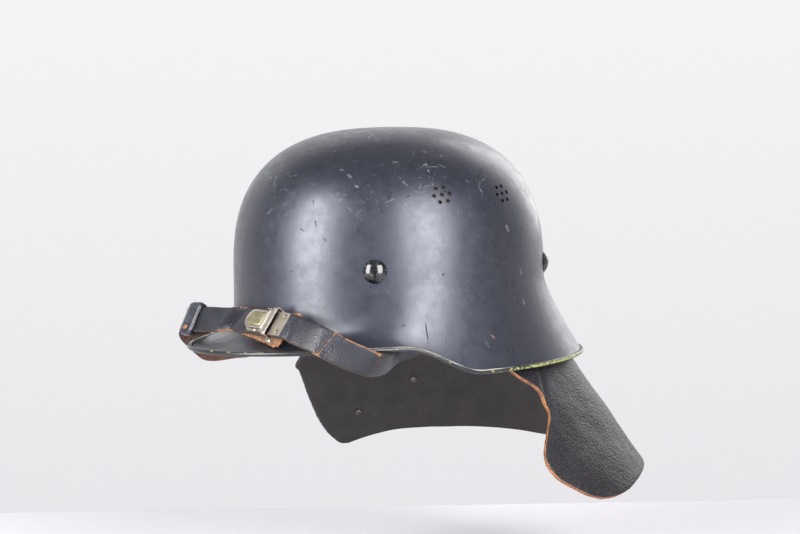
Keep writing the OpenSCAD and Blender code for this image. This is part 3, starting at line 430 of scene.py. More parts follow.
def bore(piece, places, radius_mm, depth_mm):
    """Cuts clean round holes at places, which are 4x4 matrices with Z along each hole."""
    drill_mesh = bpy.data.meshes.new("drill")
    cutter = bmesh.new()
    for place in places:
        bmesh.ops.create_cone(cutter, cap_ends=True, segments=20, radius1=radius_mm * MM,
                              radius2=radius_mm * MM, depth=depth_mm * MM, matrix=place)
    cutter.to_mesh(drill_mesh)
    cutter.free()
    drill = placed("drill", drill_mesh)
    cut = piece.modifiers.new("holes", "BOOLEAN")
    cut.object, cut.operation, cut.solver = drill, "DIFFERENCE", "EXACT"
    bpy.context.view_layer.update()
    cut_mesh = bpy.data.meshes.new_from_object(
        piece.evaluated_get(bpy.context.evaluated_depsgraph_get()))
    piece.modifiers.clear()
    piece.data = cut_mesh
    bpy.data.objects.remove(drill)


VENT_TURN, VENT_DEPTH = 8, 9
vents = []
for a in VENT_ANGLES:
    outward = Vector(dome_normal(a, VENT_Z)).to_track_quat("Z", "Y").to_matrix().to_4x4()
    centre = Matrix.Translation(Vector(dome_point(a, VENT_Z)) * MM) @ outward
    vents.append(centre)
    for k in range(6):
        t = math.radians(60 * k + VENT_TURN)
        vents.append(centre @ Matrix.Translation((VENT_PITCH * MM * math.cos(t),
                                                  VENT_PITCH * MM * math.sin(t), 0)))
bore(shell, vents, VENT_D / 2, VENT_DEPTH)
shade(shell.data, SHELL_SHARP)
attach(shell, "helmet")
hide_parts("shell")

# The liner is hung from four screws with domed heads, once black. Each shank passes a fibre
# spacer, which holds the liner away from the shell, and a square nut inside an alloy band.


def bevelled(node, width_mm):
    """Breaks the sharp edges of a turned or stamped part that comes from the CAD model."""
    edges = cad[node].modifiers.new("broken_edges", "BEVEL")
    edges.width, edges.segments, edges.limit_method = width_mm * MM, 2, "ANGLE"
    edges.angle_limit = math.radians(35)
    edges.harden_normals = True
    return cad[node]


def finish_node(node, finish, width_mm=0.15):
    part = bevelled(node, width_mm)
    part.data.materials.clear()
    part.data.materials.append(finish)
    part.data.polygons.foreach_set("material_index", [0] * len(part.data.polygons))


# Black enamel on turned steel: a smooth dome that mirrors the room softly, greyer and duller in
# specks where handling has rubbed it.
black_steel, tree, shader, where = new_finish("worn_black_steel", 0.2)
feed(shader, {"Specular IOR Level": 0.6})
haze = add(tree, "TexNoise", {
    "Vector": where, "Scale": 1 / (1.8 * MM), "Detail": 5.0, "Roughness": 0.75})
rubbed = add(tree, "MapRange", {"Value": haze, "From Min": 0.56, "From Max": 0.7})
tone = add(tree, "Mix", {"Factor": rubbed, 6: hue("#0d0e11"), 7: hue("#5c5a58")}, data_type="RGBA")
dulled = add(tree, "MapRange", {"Value": rubbed, "To Min": 0.12, "To Max": 0.35})
dent = add(tree, "Bump", {"Strength": 1.0, "Distance": 0.02 * MM, "Height": haze})
feed(shader, {"Base Color": tone, "Roughness": dulled, "Normal": dent})

# Zinc-plated steel, stamped and drawn, that has gone dull and grey-yellow in patches about 4 mm
# wide, with shallow pits that break up its highlights.
plated = speckled("dull_plated_steel", 0.42, 1.0, "#6f6a5d", "#c3bfb2", speckle_mm=4, detail=5.0,
                  coarse=0.7, dent_mm=0.03)

# Rolled aluminium strip: satin, with lines along it from the rolls. The real lines are finer than
# shows, so they are drawn 1 mm apart.
rolled_alloy, tree, shader, where = new_finish("rolled_aluminium", 0.38, 1.0)
along = add(tree, "Mapping", {
    "Vector": where, "Scale": (1 / (60 * MM), 1 / (60 * MM), 1 / (1 * MM))})
rolling = add(tree, "TexNoise", {"Vector": along, "Scale": 1.0, "Detail": 3.0})
tone = add(tree, "Mix", {"Factor": rolling, 6: hue("#a5a6a8"), 7: hue("#d0d1d3")}, data_type="RGBA")
dent = add(tree, "Bump", {"Strength": 1.0, "Distance": 0.02 * MM, "Height": rolling})
feed(shader, {"Base Color": tone, "Normal": dent})

# Vulcanised fibre, pressed from layers of soaked paper: matt and near black, with short paler
# fibres. They are drawn 0.8 mm long and wide, coarser than real ones, to show.
fibre = speckled("vulcanised_fibre", 0.8, 0.0, "#1b1a1a", "#343130", speckle_mm=0.8, detail=3.0)

finish_node("liner_screws", black_steel, 0.3)
finish_node("liner_nuts", plated, 0.3)
finish_node("liner_spacers", fibre, 0.2)
finish_node("liner_band", rolled_alloy, 0.2)
finish_node("liner_rivets", plated, 0.2)

# The liner: a brown leather sweatband, folded round the band's lower edge and riveted to it,
# with eight leather fingers sewn inside it that a drawstring gathers over the head.
LINER_GAP, BAND_T, BAND_Z, BAND_H = 10, 1.2, 36, 38
LEATHER_T, SEAT, TURNUP_H, SWEATBAND_IN = 2, 0.3, 9, 8
TIP_Z, TIP_R, CORD_D, CORD_WAVE, CORD_HOLE_D = 128, 26, 2.2, 4, 6
FINGER_COUNT, FINGER_BASE_W, FINGER_TIP_W, FIRST_FINGER_A = 8, 31, 8, 22.5
FINGER_BASE_Z, ROUND_FROM, ROUND_L = BAND_Z + 33, 0.9, 0.112
FINGER_BASE_IN = BAND_T + SEAT + LEATHER_T / 2 + SWEATBAND_IN + LEATHER_T + 0.1


def band_r(a):
    return waist_r(a) - PLATE_T - LINER_GAP


def leather(name, dark, light, raw, grain_mm, depth_mm, roughness, tone_mm=28, crease=0.0):
    """Leather: tanned hide with a pebbled grain that closes to a soft gloss. Where the wear
    attribute is high, the dyed grain is rubbed off and the raw, fibrous hide shows."""
    finish, tree, shader, where = new_finish(name, roughness)
    cloud = add(tree, "TexNoise", {
        "Vector": where, "Scale": 1 / (tone_mm * MM), "Detail": 5.0, "Roughness": 0.6})
    tone = add(tree, "MapRange", {"Value": cloud, "From Min": 0.32, "From Max": 0.68})
    dyed = add(tree, "Mix", {"Factor": tone, 6: hue(dark), 7: hue(light)}, data_type="RGBA")
    worn = add(tree, "Attribute", attribute_name="wear")
    ragged = add(tree, "TexNoise", {
        "Vector": where, "Scale": 1 / (2.4 * MM), "Detail": 6.0, "Roughness": 0.7})
    sum_up = add(tree, "Math", {0: worn.outputs["Fac"], 1: ragged}, operation="ADD")
    off = add(tree, "MapRange", {"Value": sum_up, "From Min": 1.0, "From Max": 1.1})
    hide = add(tree, "Mix", {"Factor": ragged, 6: hue("#5a3420"), 7: hue(raw)}, data_type="RGBA")
    seen = add(tree, "Mix", {"Factor": off, 6: dyed, 7: hide}, data_type="RGBA")
    pebble = add(tree, "TexVoronoi", {"Vector": where, "Scale": 1 / (grain_mm * MM)}, feature="F1")
    # Painted shade: the hollows between the pebbles of the grain are mixed towards near black.
    grain_hollow_shade = add(tree, "MapRange", {
        "Value": pebble, "From Min": 0.3, "From Max": 0.8, "To Max": 0.5})
    shaded = add(tree, "Mix", {"Factor": grain_hollow_shade, 6: seen, 7: hue("#0b0a0a")}, data_type="RGBA")
    matt = add(tree, "MapRange", {"Value": off, "To Min": roughness, "To Max": 0.85})
    fine = add(tree, "TexNoise", {"Vector": where, "Scale": 1 / (grain_mm * 2 * MM), "Detail": 4.0})
    height = add(tree, "Math", {0: pebble, 1: -1.0, 2: fine}, operation="MULTIPLY_ADD")
    lane = add(tree, "Mapping", {
        "Vector": where, "Rotation": (0.3, 0.7, 0.5),
        "Scale": (1 / (3 * MM), 1 / (22 * MM), 1 / (6 * MM))})
    fold = add(tree, "TexNoise", {"Vector": lane, "Scale": 1.0, "Detail": 3.0, "Distortion": 0.6})
    whole = add(tree, "Math", {0: fold, 1: crease, 2: height}, operation="MULTIPLY_ADD")
    skin = add(tree, "Bump", {"Strength": 1.0, "Distance": depth_mm * MM, "Height": whole})
    feed(shader, {"Base Color": shaded, "Roughness": matt, "Normal": skin})
    return finish


# The knife's cut shows the hide's inside: raw, fibrous and orange-brown, so it is matt. Where two
# layers are glued, a dark smeared line runs along it. The liner's hides are brown and worn to a
# low gloss on the grain side, and darker and furry on the flesh side.
cut_hide = leather("raw_cut_hide", "#6b4229", "#ad7449", "#b98c62", grain_mm=0.8, depth_mm=0.12,
                   roughness=0.85, tone_mm=6)
glue_line = speckled("dark_glue_line", 0.8, 0.0, "#221a17", "#5c3520", speckle_mm=3, detail=4.0)
liner_hide = leather("aged_brown_hide", "#5e3720", "#86542f", "#9c6c42", grain_mm=1.0,
                     depth_mm=0.06, roughness=0.5)
flesh_hide = leather("flesh_side_hide", "#1d1511", "#31231b", "#a5764c", grain_mm=1.4,
                     depth_mm=0.16, roughness=0.85, tone_mm=9)


def sheet_object(name, mid, thick, finishes, wear=None, edge_wander=0.25, wrap=False):
    """A sheet of hide about the mid surface mid[i][j] in mm. Its cut edges are rounded, in two
    raw layers with a dark line between. finishes are the outside, inside, raw and line ones."""
    m, n = mid.shape[:2]
    if wrap:
        along = np.roll(mid, -1, axis=0) - np.roll(mid, 1, axis=0)
    else:
        along = np.gradient(mid, axis=0)
    normal = unit(np.cross(along, np.gradient(mid, axis=1)))
    faces, kinds = [], []
    verts = [(mid + normal * thick / 2).reshape(-1, 3), (mid - normal * thick / 2).reshape(-1, 3)]
    for i in range(m if wrap else m - 1):
        for j in range(n - 1):
            q = [i * n + j, (i + 1) % m * n + j, (i + 1) % m * n + j + 1, i * n + j + 1]
            faces += [q, [k + m * n for k in q[::-1]]]
            kinds += [0, 1]
    if wrap:
        borders = [[(i, 0) for i in range(m)], [(i, n - 1) for i in range(m)]]
    else:
        borders = [[(i, 0) for i in range(m)] + [(m - 1, j) for j in range(1, n)]
                   + [(i, n - 1) for i in range(m - 2, -1, -1)]
                   + [(0, j) for j in range(n - 2, 0, -1)]]
    # Levels down a cut edge, as shares of the thickness: (height, how far it stands out)
    levels = [(0.42, 0.16), (0.25, 0.3), (0.06, 0.3), (0.0, 0.12), (-0.06, 0.3), (-0.25, 0.3),
              (-0.42, 0.16)]
    strip_kinds = [0, 2, 2, 3, 3, 2, 2, 1]
    count = 2 * m * n
    for border in borders:
        i, j = np.array(border).T
        edge, up = mid[i, j], normal[i, j]
        if wrap:
            inward = mid[i, 1 if j[0] == 0 else n - 2] - edge
        else:
            inward = mid[np.clip(i, 1, m - 2), np.clip(j, 1, n - 2)] - edge
        out = -unit(inward - up * (inward * up).sum(-1, keepdims=True))
        rings = [i * n + j]
        for level, push in levels:
            wander = [ripple(p + 31 * level, (edge_wander, 2.2)) for p in edge]
            verts.append(edge + up * thick * level
                         + out * (push * thick + np.array(wander)[:, None]))
            rings.append(count + np.arange(len(border)))
            count += len(border)
        rings.append(m * n + i * n + j)
        for k in range(len(rings) - 1):
            for p in range(len(border)):
                r = (p + 1) % len(border)
                faces.append([int(rings[k][p]), int(rings[k + 1][p]), int(rings[k + 1][r]),
                              int(rings[k][r])])
                kinds.append(strip_kinds[k])
    if wear is not None:
        edges = np.zeros(count - 2 * m * n)
        wear = np.concatenate([wear.ravel(), wear.ravel(), edges])
    return skin_object(name, np.concatenate(verts), faces, finishes, kinds, wear, 50)


def distances(path):
    """How far along a path each of its points is."""
    return np.concatenate([[0], np.cumsum(np.linalg.norm(np.diff(path, axis=0), axis=1))])


def stitch_row(name, path, outward, pitch, length, thick, finish):
    """Thread showing along a seam: short raised stitches that dive into the hide at both ends."""
    step = distances(path)
    tubes, faces = [], []
    for s in np.arange(pitch / 2, step[-1] - pitch / 2, pitch):
        at = [np.array([np.interp(s + d, step, path[:, k]) for k in range(3)])
              for d in np.linspace(-length / 2, length / 2, 5)]
        up = unit(np.array([np.interp(s, step, outward[:, k]) for k in range(3)]))
        side = unit(np.cross(at[-1] - at[0], up))
        base = len(tubes)
        for p, lift in zip(at, (-0.5, 0.3, 0.5, 0.3, -0.5)):
            for t in np.radians(np.arange(0, 360, 60)):
                tubes.append(p + up * thick * (lift + 0.5 * math.sin(t)) + side * thick / 2
                             * math.cos(t))
        faces += [[base + 6 * i + j, base + 6 * i + (j + 1) % 6, base + 6 * i + 6 + (j + 1) % 6,
                   base + 6 * i + 6 + j] for i in range(4) for j in range(6)]
        faces += [[base + j for j in range(5, -1, -1)], [base + 24 + j for j in range(6)]]
    return skin_object(name, np.array(tubes), faces, [finish], sharp=60)


# Waxed linen thread, spun and twisted: straw-coloured, dirty in the hollows of its twist and only
# faintly glossy. The twist is drawn 0.7 mm to the turn, coarser than the real one, to show.
thread = speckled("waxed_linen_thread", 0.7, 0.0, "#6d5a3c", "#b09a70", speckle_mm=0.7, detail=2.0)

LINER_STEPS = 180
liner_a = np.arange(LINER_STEPS) * 360 / LINER_STEPS
fold = []
for a in liner_a:
    o = band_r(a) + SEAT + LEATHER_T / 2
    i, b = band_r(a) - BAND_T - SEAT - LEATHER_T / 2, BAND_Z - SEAT - LEATHER_T / 2
    turn = np.radians(np.linspace(0, 180, 9))
    fold.append(polar(a, *np.array([(o, BAND_Z + TURNUP_H), (o, BAND_Z + 4)]
                                   + [((o + i) / 2 + (o - i) / 2 * math.cos(t),
                                       b + 1 - 1.3 * math.sin(t)) for t in turn]
                                   + [(i - 0.6, BAND_Z + 5), (i - 2, BAND_Z + 10),
                                      (i - 3.8, BAND_Z + 15), (i - 6, BAND_Z + 20),
                                      (i - 7, BAND_Z + 25), (i - 7.5, BAND_Z + 30),
                                      (i - SWEATBAND_IN, BAND_Z + BAND_H)]).T))
liner_layers = [flesh_hide, liner_hide, cut_hide, glue_line]
sweatband = sheet_object("folded_sweatband", np.array(fold)[:, ::-1], LEATHER_T, liner_layers,
                         wrap=True)
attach(sweatband, "helmet")
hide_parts("liner_leather")
SEAM_IN, SEAM_Z, STITCH_PITCH, STITCH_L, THREAD_D = 7.1, BAND_Z + 26, 4.2, 3, 0.7
seam_a = np.linspace(0, 360, 361)
seam = np.array([polar(a, band_r(a) - BAND_T - SEAT - LEATHER_T - SEAM_IN, SEAM_Z)
                 for a in seam_a])
inward = np.array([polar(a, -1.0, 0) for a in seam_a])
sweat_stitch = stitch_row("sweatband_stitching", seam, inward, STITCH_PITCH, STITCH_L, THREAD_D,
                          thread)
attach(sweat_stitch, "helmet")


def finger_mid(a, s):
    r0, e = band_r(a) - FINGER_BASE_IN, math.radians(90 * s)
    return np.array([mix(TIP_R - 7, r0, max(math.cos(e), 0) ** 0.9),
                     mix(FINGER_BASE_Z, TIP_Z, math.sin(e) ** 1.15)])


def finger_point(a, s, side):
    """A place on a finger: s runs from its base to its rounded tip, side from edge to edge."""
    half = mix(FINGER_BASE_W, FINGER_TIP_W, smooth(s, 0, 0.8))
    if s > ROUND_FROM:
        half = half * math.sqrt(1 - ((s - ROUND_FROM) / ROUND_L) ** 2)
    r, z = finger_mid(a, s)
    b = half * side / max(r, 12) * 180 / math.pi * mix(1, 0.9, smooth(s, 0.5, 1))
    return polar(a + b, mix(r, finger_mid(a + b, s)[0], 1 - smooth(s, 0.3, 0.9)), z)


for k in range(FINGER_COUNT):
    a = FIRST_FINGER_A + k * 360 / FINGER_COUNT
    mid = np.array([[finger_point(a, s, side) for s in np.linspace(0, 1, 33)]
                    for side in np.linspace(-1, 1, 15)])
    finger = sheet_object(f"liner_finger_{k + 1}", mid, LEATHER_T, liner_layers, edge_wander=0.1)
    hole = Matrix.Translation(Vector(polar(a, TIP_R, TIP_Z)) * MM)
    bore(finger, [hole], CORD_HOLE_D / 2, depth_mm=16)
    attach(finger, "helmet")
    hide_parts("liner_fingers")

# The drawstring is a braided cotton cord, off-white gone brown, drawn up through the fingers'
# holes and dipping between them. Its strands are drawn 1.1 mm wide, coarser than real ones, so
# that the braid shows.
braid, tree, shader, where = new_finish("braided_cotton", 0.85)
strands = add(tree, "TexVoronoi", {"Vector": where, "Scale": 1 / (1.1 * MM)})
dirt = add(tree, "TexNoise", {"Vector": where, "Scale": 1 / (12 * MM), "Detail": 3.0})
tone = add(tree, "Mix", {"Factor": dirt, 6: hue("#8a7856"), 7: hue("#cbbb94")}, data_type="RGBA")
dent = add(tree, "Bump", {"Strength": 1.0, "Distance": -0.3 * MM, "Height": strands})
feed(shader, {"Base Color": tone, "Normal": dent})
ring = []
for a in np.linspace(0, 360, 192, endpoint=False):
    turn, wave = math.radians(a), math.radians(FINGER_COUNT * (a - FIRST_FINGER_A))
    t = unit(np.array([math.pi / 180 * TIP_R,
                       CORD_WAVE * FINGER_COUNT * math.cos(wave) * math.pi / 180]))
    z = TIP_Z + CORD_WAVE * math.sin(wave)
    b = np.radians(-np.arange(12) * 30)
    swell = CORD_D / 2 * (1 + 0.06 * np.sin(96 * turn + 3 * b))
    u, v = swell * np.cos(b), swell * np.sin(b)
    tangent = np.array([-t[1] * math.cos(turn), -t[1] * math.sin(turn), t[0]])
    ring.append(polar(a, TIP_R + u, z) + v[:, None] * tangent)
cord = loft_object("drawstring_braid", np.array(ring), [braid], around=True)
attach(cord, "helmet")
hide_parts("drawstring")

# A lug on each side of the band, stamped from plated steel and riveted on, is rolled round a bent
# wire ring, which the chin strap hangs from and turns with.
for node in ("lug_left", "lug_right", "lug_rivets"):
    finish_node(node, plated, 0.25)
for node in ("strap_ring_left", "strap_ring_right"):
    finish_node(node, plated, 0.05)

# The chin strap: two straps of black bridle leather, grain side out, buckled at the front and
# hooked over the visor. Years in that place have set its bends, and folds and edges are worn to
# the raw hide.
STRAP_W, STRAP_T, END_T = 19, 2.2, 1.6
RING_WIRE, LUG_A, LUG_TILT, LUG_REACH, RING_L, RING_TILT = 3, 88, 36, 11, 13, 7
LUG_T, WIRE_GAP = 1.2, 0.08
LUG_Z, ROLL_R = BAND_Z + 5, RING_WIRE / 2 + WIRE_GAP + LUG_T
LUG_BASE = SEAT + LEATHER_T + SEAT
LOOP_R = RING_WIRE / 2 + 1 + END_T / 2
BUCKLE_A, BUCKLE_LEAN, BUCKLE_YAW, BUCKLE_DIP = 16.85, 36.5, 6, 2.5
SLIDER_LEAN = 24


def by_rim(a, reach, rise, lean):
    return np.append(polar(a, rim_r(a) + reach, rim_z(a) + rise), lean)


def buckle_axes():
    """The buckle's length along the strap and its face's direction."""
    yaw, dip, lean = (math.radians(v) for v in (BUCKLE_YAW, BUCKLE_DIP, BUCKLE_LEAN))
    ahead, aside = math.cos(yaw), math.sin(yaw)
    up, level = math.sin(lean), math.cos(lean)
    return (np.array([ahead * math.cos(dip), aside * math.cos(dip), -math.sin(dip)]),
            np.array([ahead * math.sin(dip) * up + aside * level,
                      aside * math.sin(dip) * up - ahead * level, math.cos(dip) * up]))


buckle_o = by_rim(BUCKLE_A, -21.6, 17.8, BUCKLE_LEAN)
buckle_x, buckle_z = buckle_axes()
buckle_y = np.cross(buckle_z, buckle_x)


def by_buckle(u, drop=0):
    return buckle_o + np.append(u * buckle_x - drop * buckle_z, 0)


def by_ring(x):
    tilt, lug = math.radians(RING_TILT), math.radians(LUG_TILT)
    u, w = LUG_REACH + x * math.cos(tilt), ROLL_R - x * math.sin(tilt)
    side = polar(LUG_A, band_r(LUG_A) + LUG_BASE + w, LUG_Z - u * math.sin(lug))
    forward = -u * math.cos(lug) * polar(LUG_A + 90, 1, 0)
    return np.append(side + forward, 0)


# Each route runs from the buckle to its ring, as places with the strap's lean in degrees.
slider_from = by_rim(-21.2, -9, 16.4, SLIDER_LEAN)
slider_to = by_rim(-26.7, 2.8, 15.7, SLIDER_LEAN)
left_route = [by_buckle(3.5), by_buckle(8.5), by_buckle(13), by_buckle(18.5, 1.25),
              by_rim(28, -8.1, 13.5, 34), by_rim(35, 1.9, 8.4, 24), by_rim(41, 4.3, 0.3, 1),
              by_rim(46, 4.5, -5.2, -15), by_rim(49.8, 2.1, -9.1, -35),
              by_rim(53.5, -7.1, -9.6, -35), by_rim(58, -15.9, -1.2, -11),
              by_rim(65, -13.2, 6.2, -2), by_ring(RING_L + LOOP_R)]
right_route = [by_buckle(-3.5), by_buckle(-14), by_buckle(-25), by_buckle(-36.5, 0.65),
               by_rim(-6, -28, 19.3, 36), by_rim(-12.3, -22.9, 17.7, 33),
               by_rim(-17.7, -15.2, 16.8, SLIDER_LEAN), slider_from,
               mix(slider_from, slider_to, 0.5), slider_to, by_rim(-28.5, 6.3, 13.6, 24),
               by_rim(-31, 6.9, 7.9, 24), by_rim(-35.6, 6.5, 1.4, 25),
               by_rim(-41.3, 7.3, -5.7, 21), by_rim(-47.2, 5.2, -13.4, 40),
               by_rim(-52.5, -3.5, -15, 58), by_rim(-57.3, -11.4, -12.6, 48),
               by_rim(-65.4, -14.1, 1.5, 18), by_ring(RING_L + LOOP_R) * (-1, 1, 1, 0)]


def spline(route, steps):
    p = np.array(route, float)
    q = np.vstack([2 * p[0] - p[1], p, 2 * p[-1] - p[-2]])
    out = []
    for i in range(1, len(p)):
        for t in np.arange(steps) / steps:
            out.append(0.5 * (2 * q[i] + (q[i + 1] - q[i - 1]) * t
                              + (2 * q[i - 1] - 5 * q[i] + 4 * q[i + 1] - q[i + 2]) * t * t
                              + (3 * q[i] - q[i - 1] - 3 * q[i + 1] + q[i + 2]) * t ** 3))
    return np.array(out + [p[-1]])


STATION_STEP, STRAP_WAVES = 0.45, ((0.16, 9), (0.06, 3))


def strap_frames(route):
    """Even stations along a route, as (place, width direction, face direction, distance)."""
    curve = spline(route, 24)
    step = distances(curve[:, :3])
    even = np.linspace(0, step[-1], int(step[-1] / STATION_STEP))
    c = np.stack([np.interp(even, step, curve[:, k]) for k in range(4)], -1)
    place = c[:, :3]
    tangent = unit(np.gradient(place, axis=0))
    side = unit(np.cross([0, 0, 1], tangent))
    side *= np.where((side[:, :2] * place[:, :2]).sum(-1) > 0, 1, -1)[:, None]
    up = unit(np.cross(tangent, side))
    up *= np.where(up[:, 2] > 0, 1, -1)[:, None]
    lean = np.radians(c[:, 3:])
    return (place, up * np.cos(lean) - side * np.sin(lean),
            side * np.cos(lean) + up * np.sin(lean), even)


# Half a strap's section, from the middle of the face round the edge to the middle of the flesh
# side: (share of half the width, height), crowned a little and skived at the edges
SECTION = [(0, 0.54), (0.3, 0.535), (0.55, 0.52), (0.75, 0.51), (0.88, 0.47), (0.95, 0.38),
           (0.99, 0.22), (1.0, 0.0), (0.99, -0.22), (0.95, -0.4), (0.86, -0.49), (0.6, -0.5),
           (0.3, -0.5)]
section = np.array(SECTION + [(0, -0.5)] + [(-u, v) for u, v in SECTION[:0:-1]])
edge_share = abs(section[:, 0])
section_kinds = [1 if abs(v) < 0.45 and abs(u) > 0.9 else (0 if v > 0 else 2) for u, v in section]


def strap_object(name, route, finishes, folds, wear_at):
    """A strap along a route. folds are (distance, slant, depth, rub) of set creases across it,
    in mm, and wear_at is (from, to, side, amount) of edges rubbed to the raw hide."""
    place, wide, face, even = strap_frames(route)
    u, v = section[:, 0] * STRAP_W / 2, section[:, 1] * STRAP_T
    rings, wear = [], []
    for i, s in enumerate(even):
        p = place[i] + u[:, None] * wide[i] + v[:, None] * face[i]
        lift = np.array([ripple(q, *STRAP_WAVES) for q in p])
        rub = 0.1 * smooth(edge_share, 0.86, 1.0) + 0.06
        for at, slant, depth, worn in folds:
            d = s - at - slant * u
            lift -= depth * np.exp(-(d / 0.6) ** 2) - 0.5 * depth * np.exp(-((d - 1.3) / 0.8) ** 2)
            rub = np.maximum(rub, worn * np.exp(-(d / 0.5) ** 2))
        for start, end, side, amount in wear_at:
            near = smooth(s, start - 2, start) * (1 - smooth(s, end, end + 2))
            rub = rub + amount * near * smooth(side * section[:, 0], 0.82, 1.0)
        rings.append(p + (lift * (section[:, 1] > 0))[:, None] * face[i])
        wear.append(rub)
    return loft_object(name, np.array(rings), finishes, slots=section_kinds, ends=True,
                       wear=np.array(wear), sharp=60)


# Bridle leather is curried with dyed grease and glazed: a fine grain under a low sheen, in black
# that goes grey. Its cut edges are dyed and burnished, and its flesh side is plain brown and
# furry, so it is matt.
strap_hide = leather("black_bridle_leather", "#111219", "#25262f", "#b07a50", grain_mm=1.0,
                     depth_mm=0.15, roughness=0.36, tone_mm=16, crease=0.5)
strap_edge = leather("strap_cut_edge", "#17130f", "#3a2a22", "#b07a50", grain_mm=0.8,
                     depth_mm=0.12, roughness=0.75, tone_mm=9)
strap_flesh = leather("strap_flesh_side", "#49342a", "#765443", "#8d6a52", grain_mm=1.2,
                      depth_mm=0.16, roughness=0.85, tone_mm=9)
strap_finishes = [strap_hide, strap_edge, strap_flesh]

strap_left = strap_object("chin_strap_buckle_half", left_route, strap_finishes,
                          [(44.2, 0.14, 0.1, 0.55), (46.2, 0.16, 0.14, 0.66),
                           (48.6, 0.2, 0.1, 0.2), (51, 0.1, 0.07, 0), (79.6, -0.2, 0.1, 0.5),
                           (81.4, -0.26, 0.25, 0.62), (83, -0.32, 0.15, 0.55)],
                          [(47, 80, 1, 0.5), (4, 44, -1, 0.3), (42, 47, -1, 0.4),
                           (76, 86, -1, 0.4), (14, 24, 1, 0.3)])
strap_right = strap_object("chin_strap_tongue_half", right_route, strap_finishes,
                           [(34, -0.4, 0.4, 0), (37, -0.4, 0.6, 0.1), (39.6, -0.41, 0.8, 0.3),
                            (42, -0.4, 0.6, 0.2), (44.4, -0.38, 0.8, 0.3),
                            (47, -0.38, 0.7, 0.1), (50, -0.36, 0.6, 0), (54, -0.33, 0.45, 0),
                            (96, 0.2, 0.5, 0.4), (101, -0.2, 0.35, 0.4), (130, 0.2, 0.3, 0.3)],
                           [(32, 50, 1, 0.75), (36, 57, -1, 0.85), (56, 76, -1, 0.35),
                            (4, 34, -1, 0.2), (88, 110, 1, 0.2)])
for strap, node in ((strap_left, "chin_strap_left"), (strap_right, "chin_strap_right")):
    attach(strap, "helmet")
    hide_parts(node)

# Each strap's end is skived thinner, folded round its ring and sewn back on itself. The fold is
# rubbed at its edges, where the ring has worn it.
lug, tilt = math.radians(180 + LUG_TILT), math.radians(RING_TILT)
out = polar(LUG_A, 1, 0)
lug_x = polar(LUG_A + 90, 1, 0) * math.cos(lug) + np.array([0, 0, math.sin(lug)])
ring_x = lug_x * math.cos(tilt) - out * math.sin(tilt)
ring_z = lug_x * math.sin(tilt) + out * math.cos(tilt)
ring_y = np.cross(ring_z, ring_x)
bar = by_ring(RING_L)[:3]
for flip, node, name in ((1, "chin_strap_left", "left_strap_end"),
                         (-1, "chin_strap_right", "right_strap_end")):
    rings = []
    for t in np.linspace(0, 2 * math.pi, 48, endpoint=False):
        radial = ring_x * math.cos(t) + ring_z * math.sin(t)
        rings.append(bar + (section[:, 0] * STRAP_W / 2)[:, None] * ring_y
                     + (LOOP_R + section[:, 1] * END_T)[:, None] * radial)
    fold_over = loft_object(name, np.array(rings) * (flip, 1, 1), strap_finishes,
                            slots=section_kinds, around=True,
                            wear=np.tile(0.2 + 0.3 * edge_share, (48, 1)), sharp=60)
    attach(fold_over, "helmet")
    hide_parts(node)

# A tongue of raw, undyed hide behind the buckle keeps its rivets off the paint. It was cut by
# hand, so its edges are ragged, and it is matt and coarse to the eye.
backing_hide = leather("ragged_raw_hide", "#4d3628", "#966d4e", "#a58060", grain_mm=0.9,
                       depth_mm=0.5, roughness=0.9, tone_mm=3, crease=2.5)
BACKING_T, BACKING_GAP, BACKING_DROP, RAGGED_WAVE = 1.6, 0.15, 2.4, (0.9, 1.6)
backing_line = [(19, 10.3), (17, 2), (14.5, -6), (13.2, -11), (12.6, -14.9), (8, -15.2),
                (-3, -13.2), (-14, -11.6), (-22, -10.3), (-28.5, -9.4), (-29, 0), (-28.5, 9.6),
                (-12, 10), (6, 10.3), (12, 10.9), (16.5, 11.5)]
outline = spline(backing_line + backing_line[:1], 10)[:-1]
outline += np.array([[ripple((x, y, 3), RAGGED_WAVE), ripple((x, y, 9), RAGGED_WAVE)]
                     for x, y in outline])
inner_face = -STRAP_T - BACKING_GAP
rings = []
for x, y in outline:
    row = []
    for shrink, depth in ((0.0, 0.0), (0.55, 0.0), (0.97, 0.0), (1.0, 0.25), (1.01, 0.8),
                          (1.0, 1.35), (0.96, BACKING_T), (0.55, BACKING_T), (0.0, BACKING_T)):
        px, py = mix(-6, x, shrink), mix(-1.5, y, shrink)
        z = inner_face - depth - BACKING_DROP * float(smooth(px, 10, 24))
        row.append(buckle_o[:3] + buckle_z * (STRAP_T / 2 + z) + buckle_x * px + buckle_y * py)
    rings.append(row)
backing = loft_object("buckle_backing_hide", np.array(rings), [backing_hide, cut_hide],
                      slots=[0, 0, 1, 1, 1, 1, 0, 0], around=True, closed=False, sharp=60)
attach(backing, "helmet")
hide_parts("buckle_backing")

# The slider is a keeper of thick black leather, moulded wet round the strap and polished, so it
# mirrors the lights, with a line creased inside its edge. A patch of it is worn through to the
# raw hide.
SLIDER_L, SLIDER_WALL, SLIDER_GAP, SLIDER_SKEW, FACE_CORNER = 14.4, 1.4, 0.6, 0.15, 4.6
FACE_SWELL, CREASE_D, CREASE_W, CREASE_IN, CREASE_ASIDE = 0.35, 0.3, 0.42, 1.7, 0.4
WORN_ALONG, WORN_ASIDE, STATIONS, ROLLED_SHARE, SIDE_THICKENS = 0.8, -7.2, 91, 0.14, 1.6
slider_x = unit((slider_to - slider_from)[:3])
slider_mid = mix(slider_from[:3], slider_to[:3], 0.7)
side = unit(np.cross([0, 0, 1], slider_x))
side = side * (1 if side @ (slider_mid * (1, 1, 0)) > 0 else -1)
up = np.cross(slider_x, side)
up = up * (1 if up[2] > 0 else -1)
lean = math.radians(SLIDER_LEAN)
slider_w = up * math.cos(lean) - side * math.sin(lean)
slider_f = side * math.cos(lean) + up * math.sin(lean)
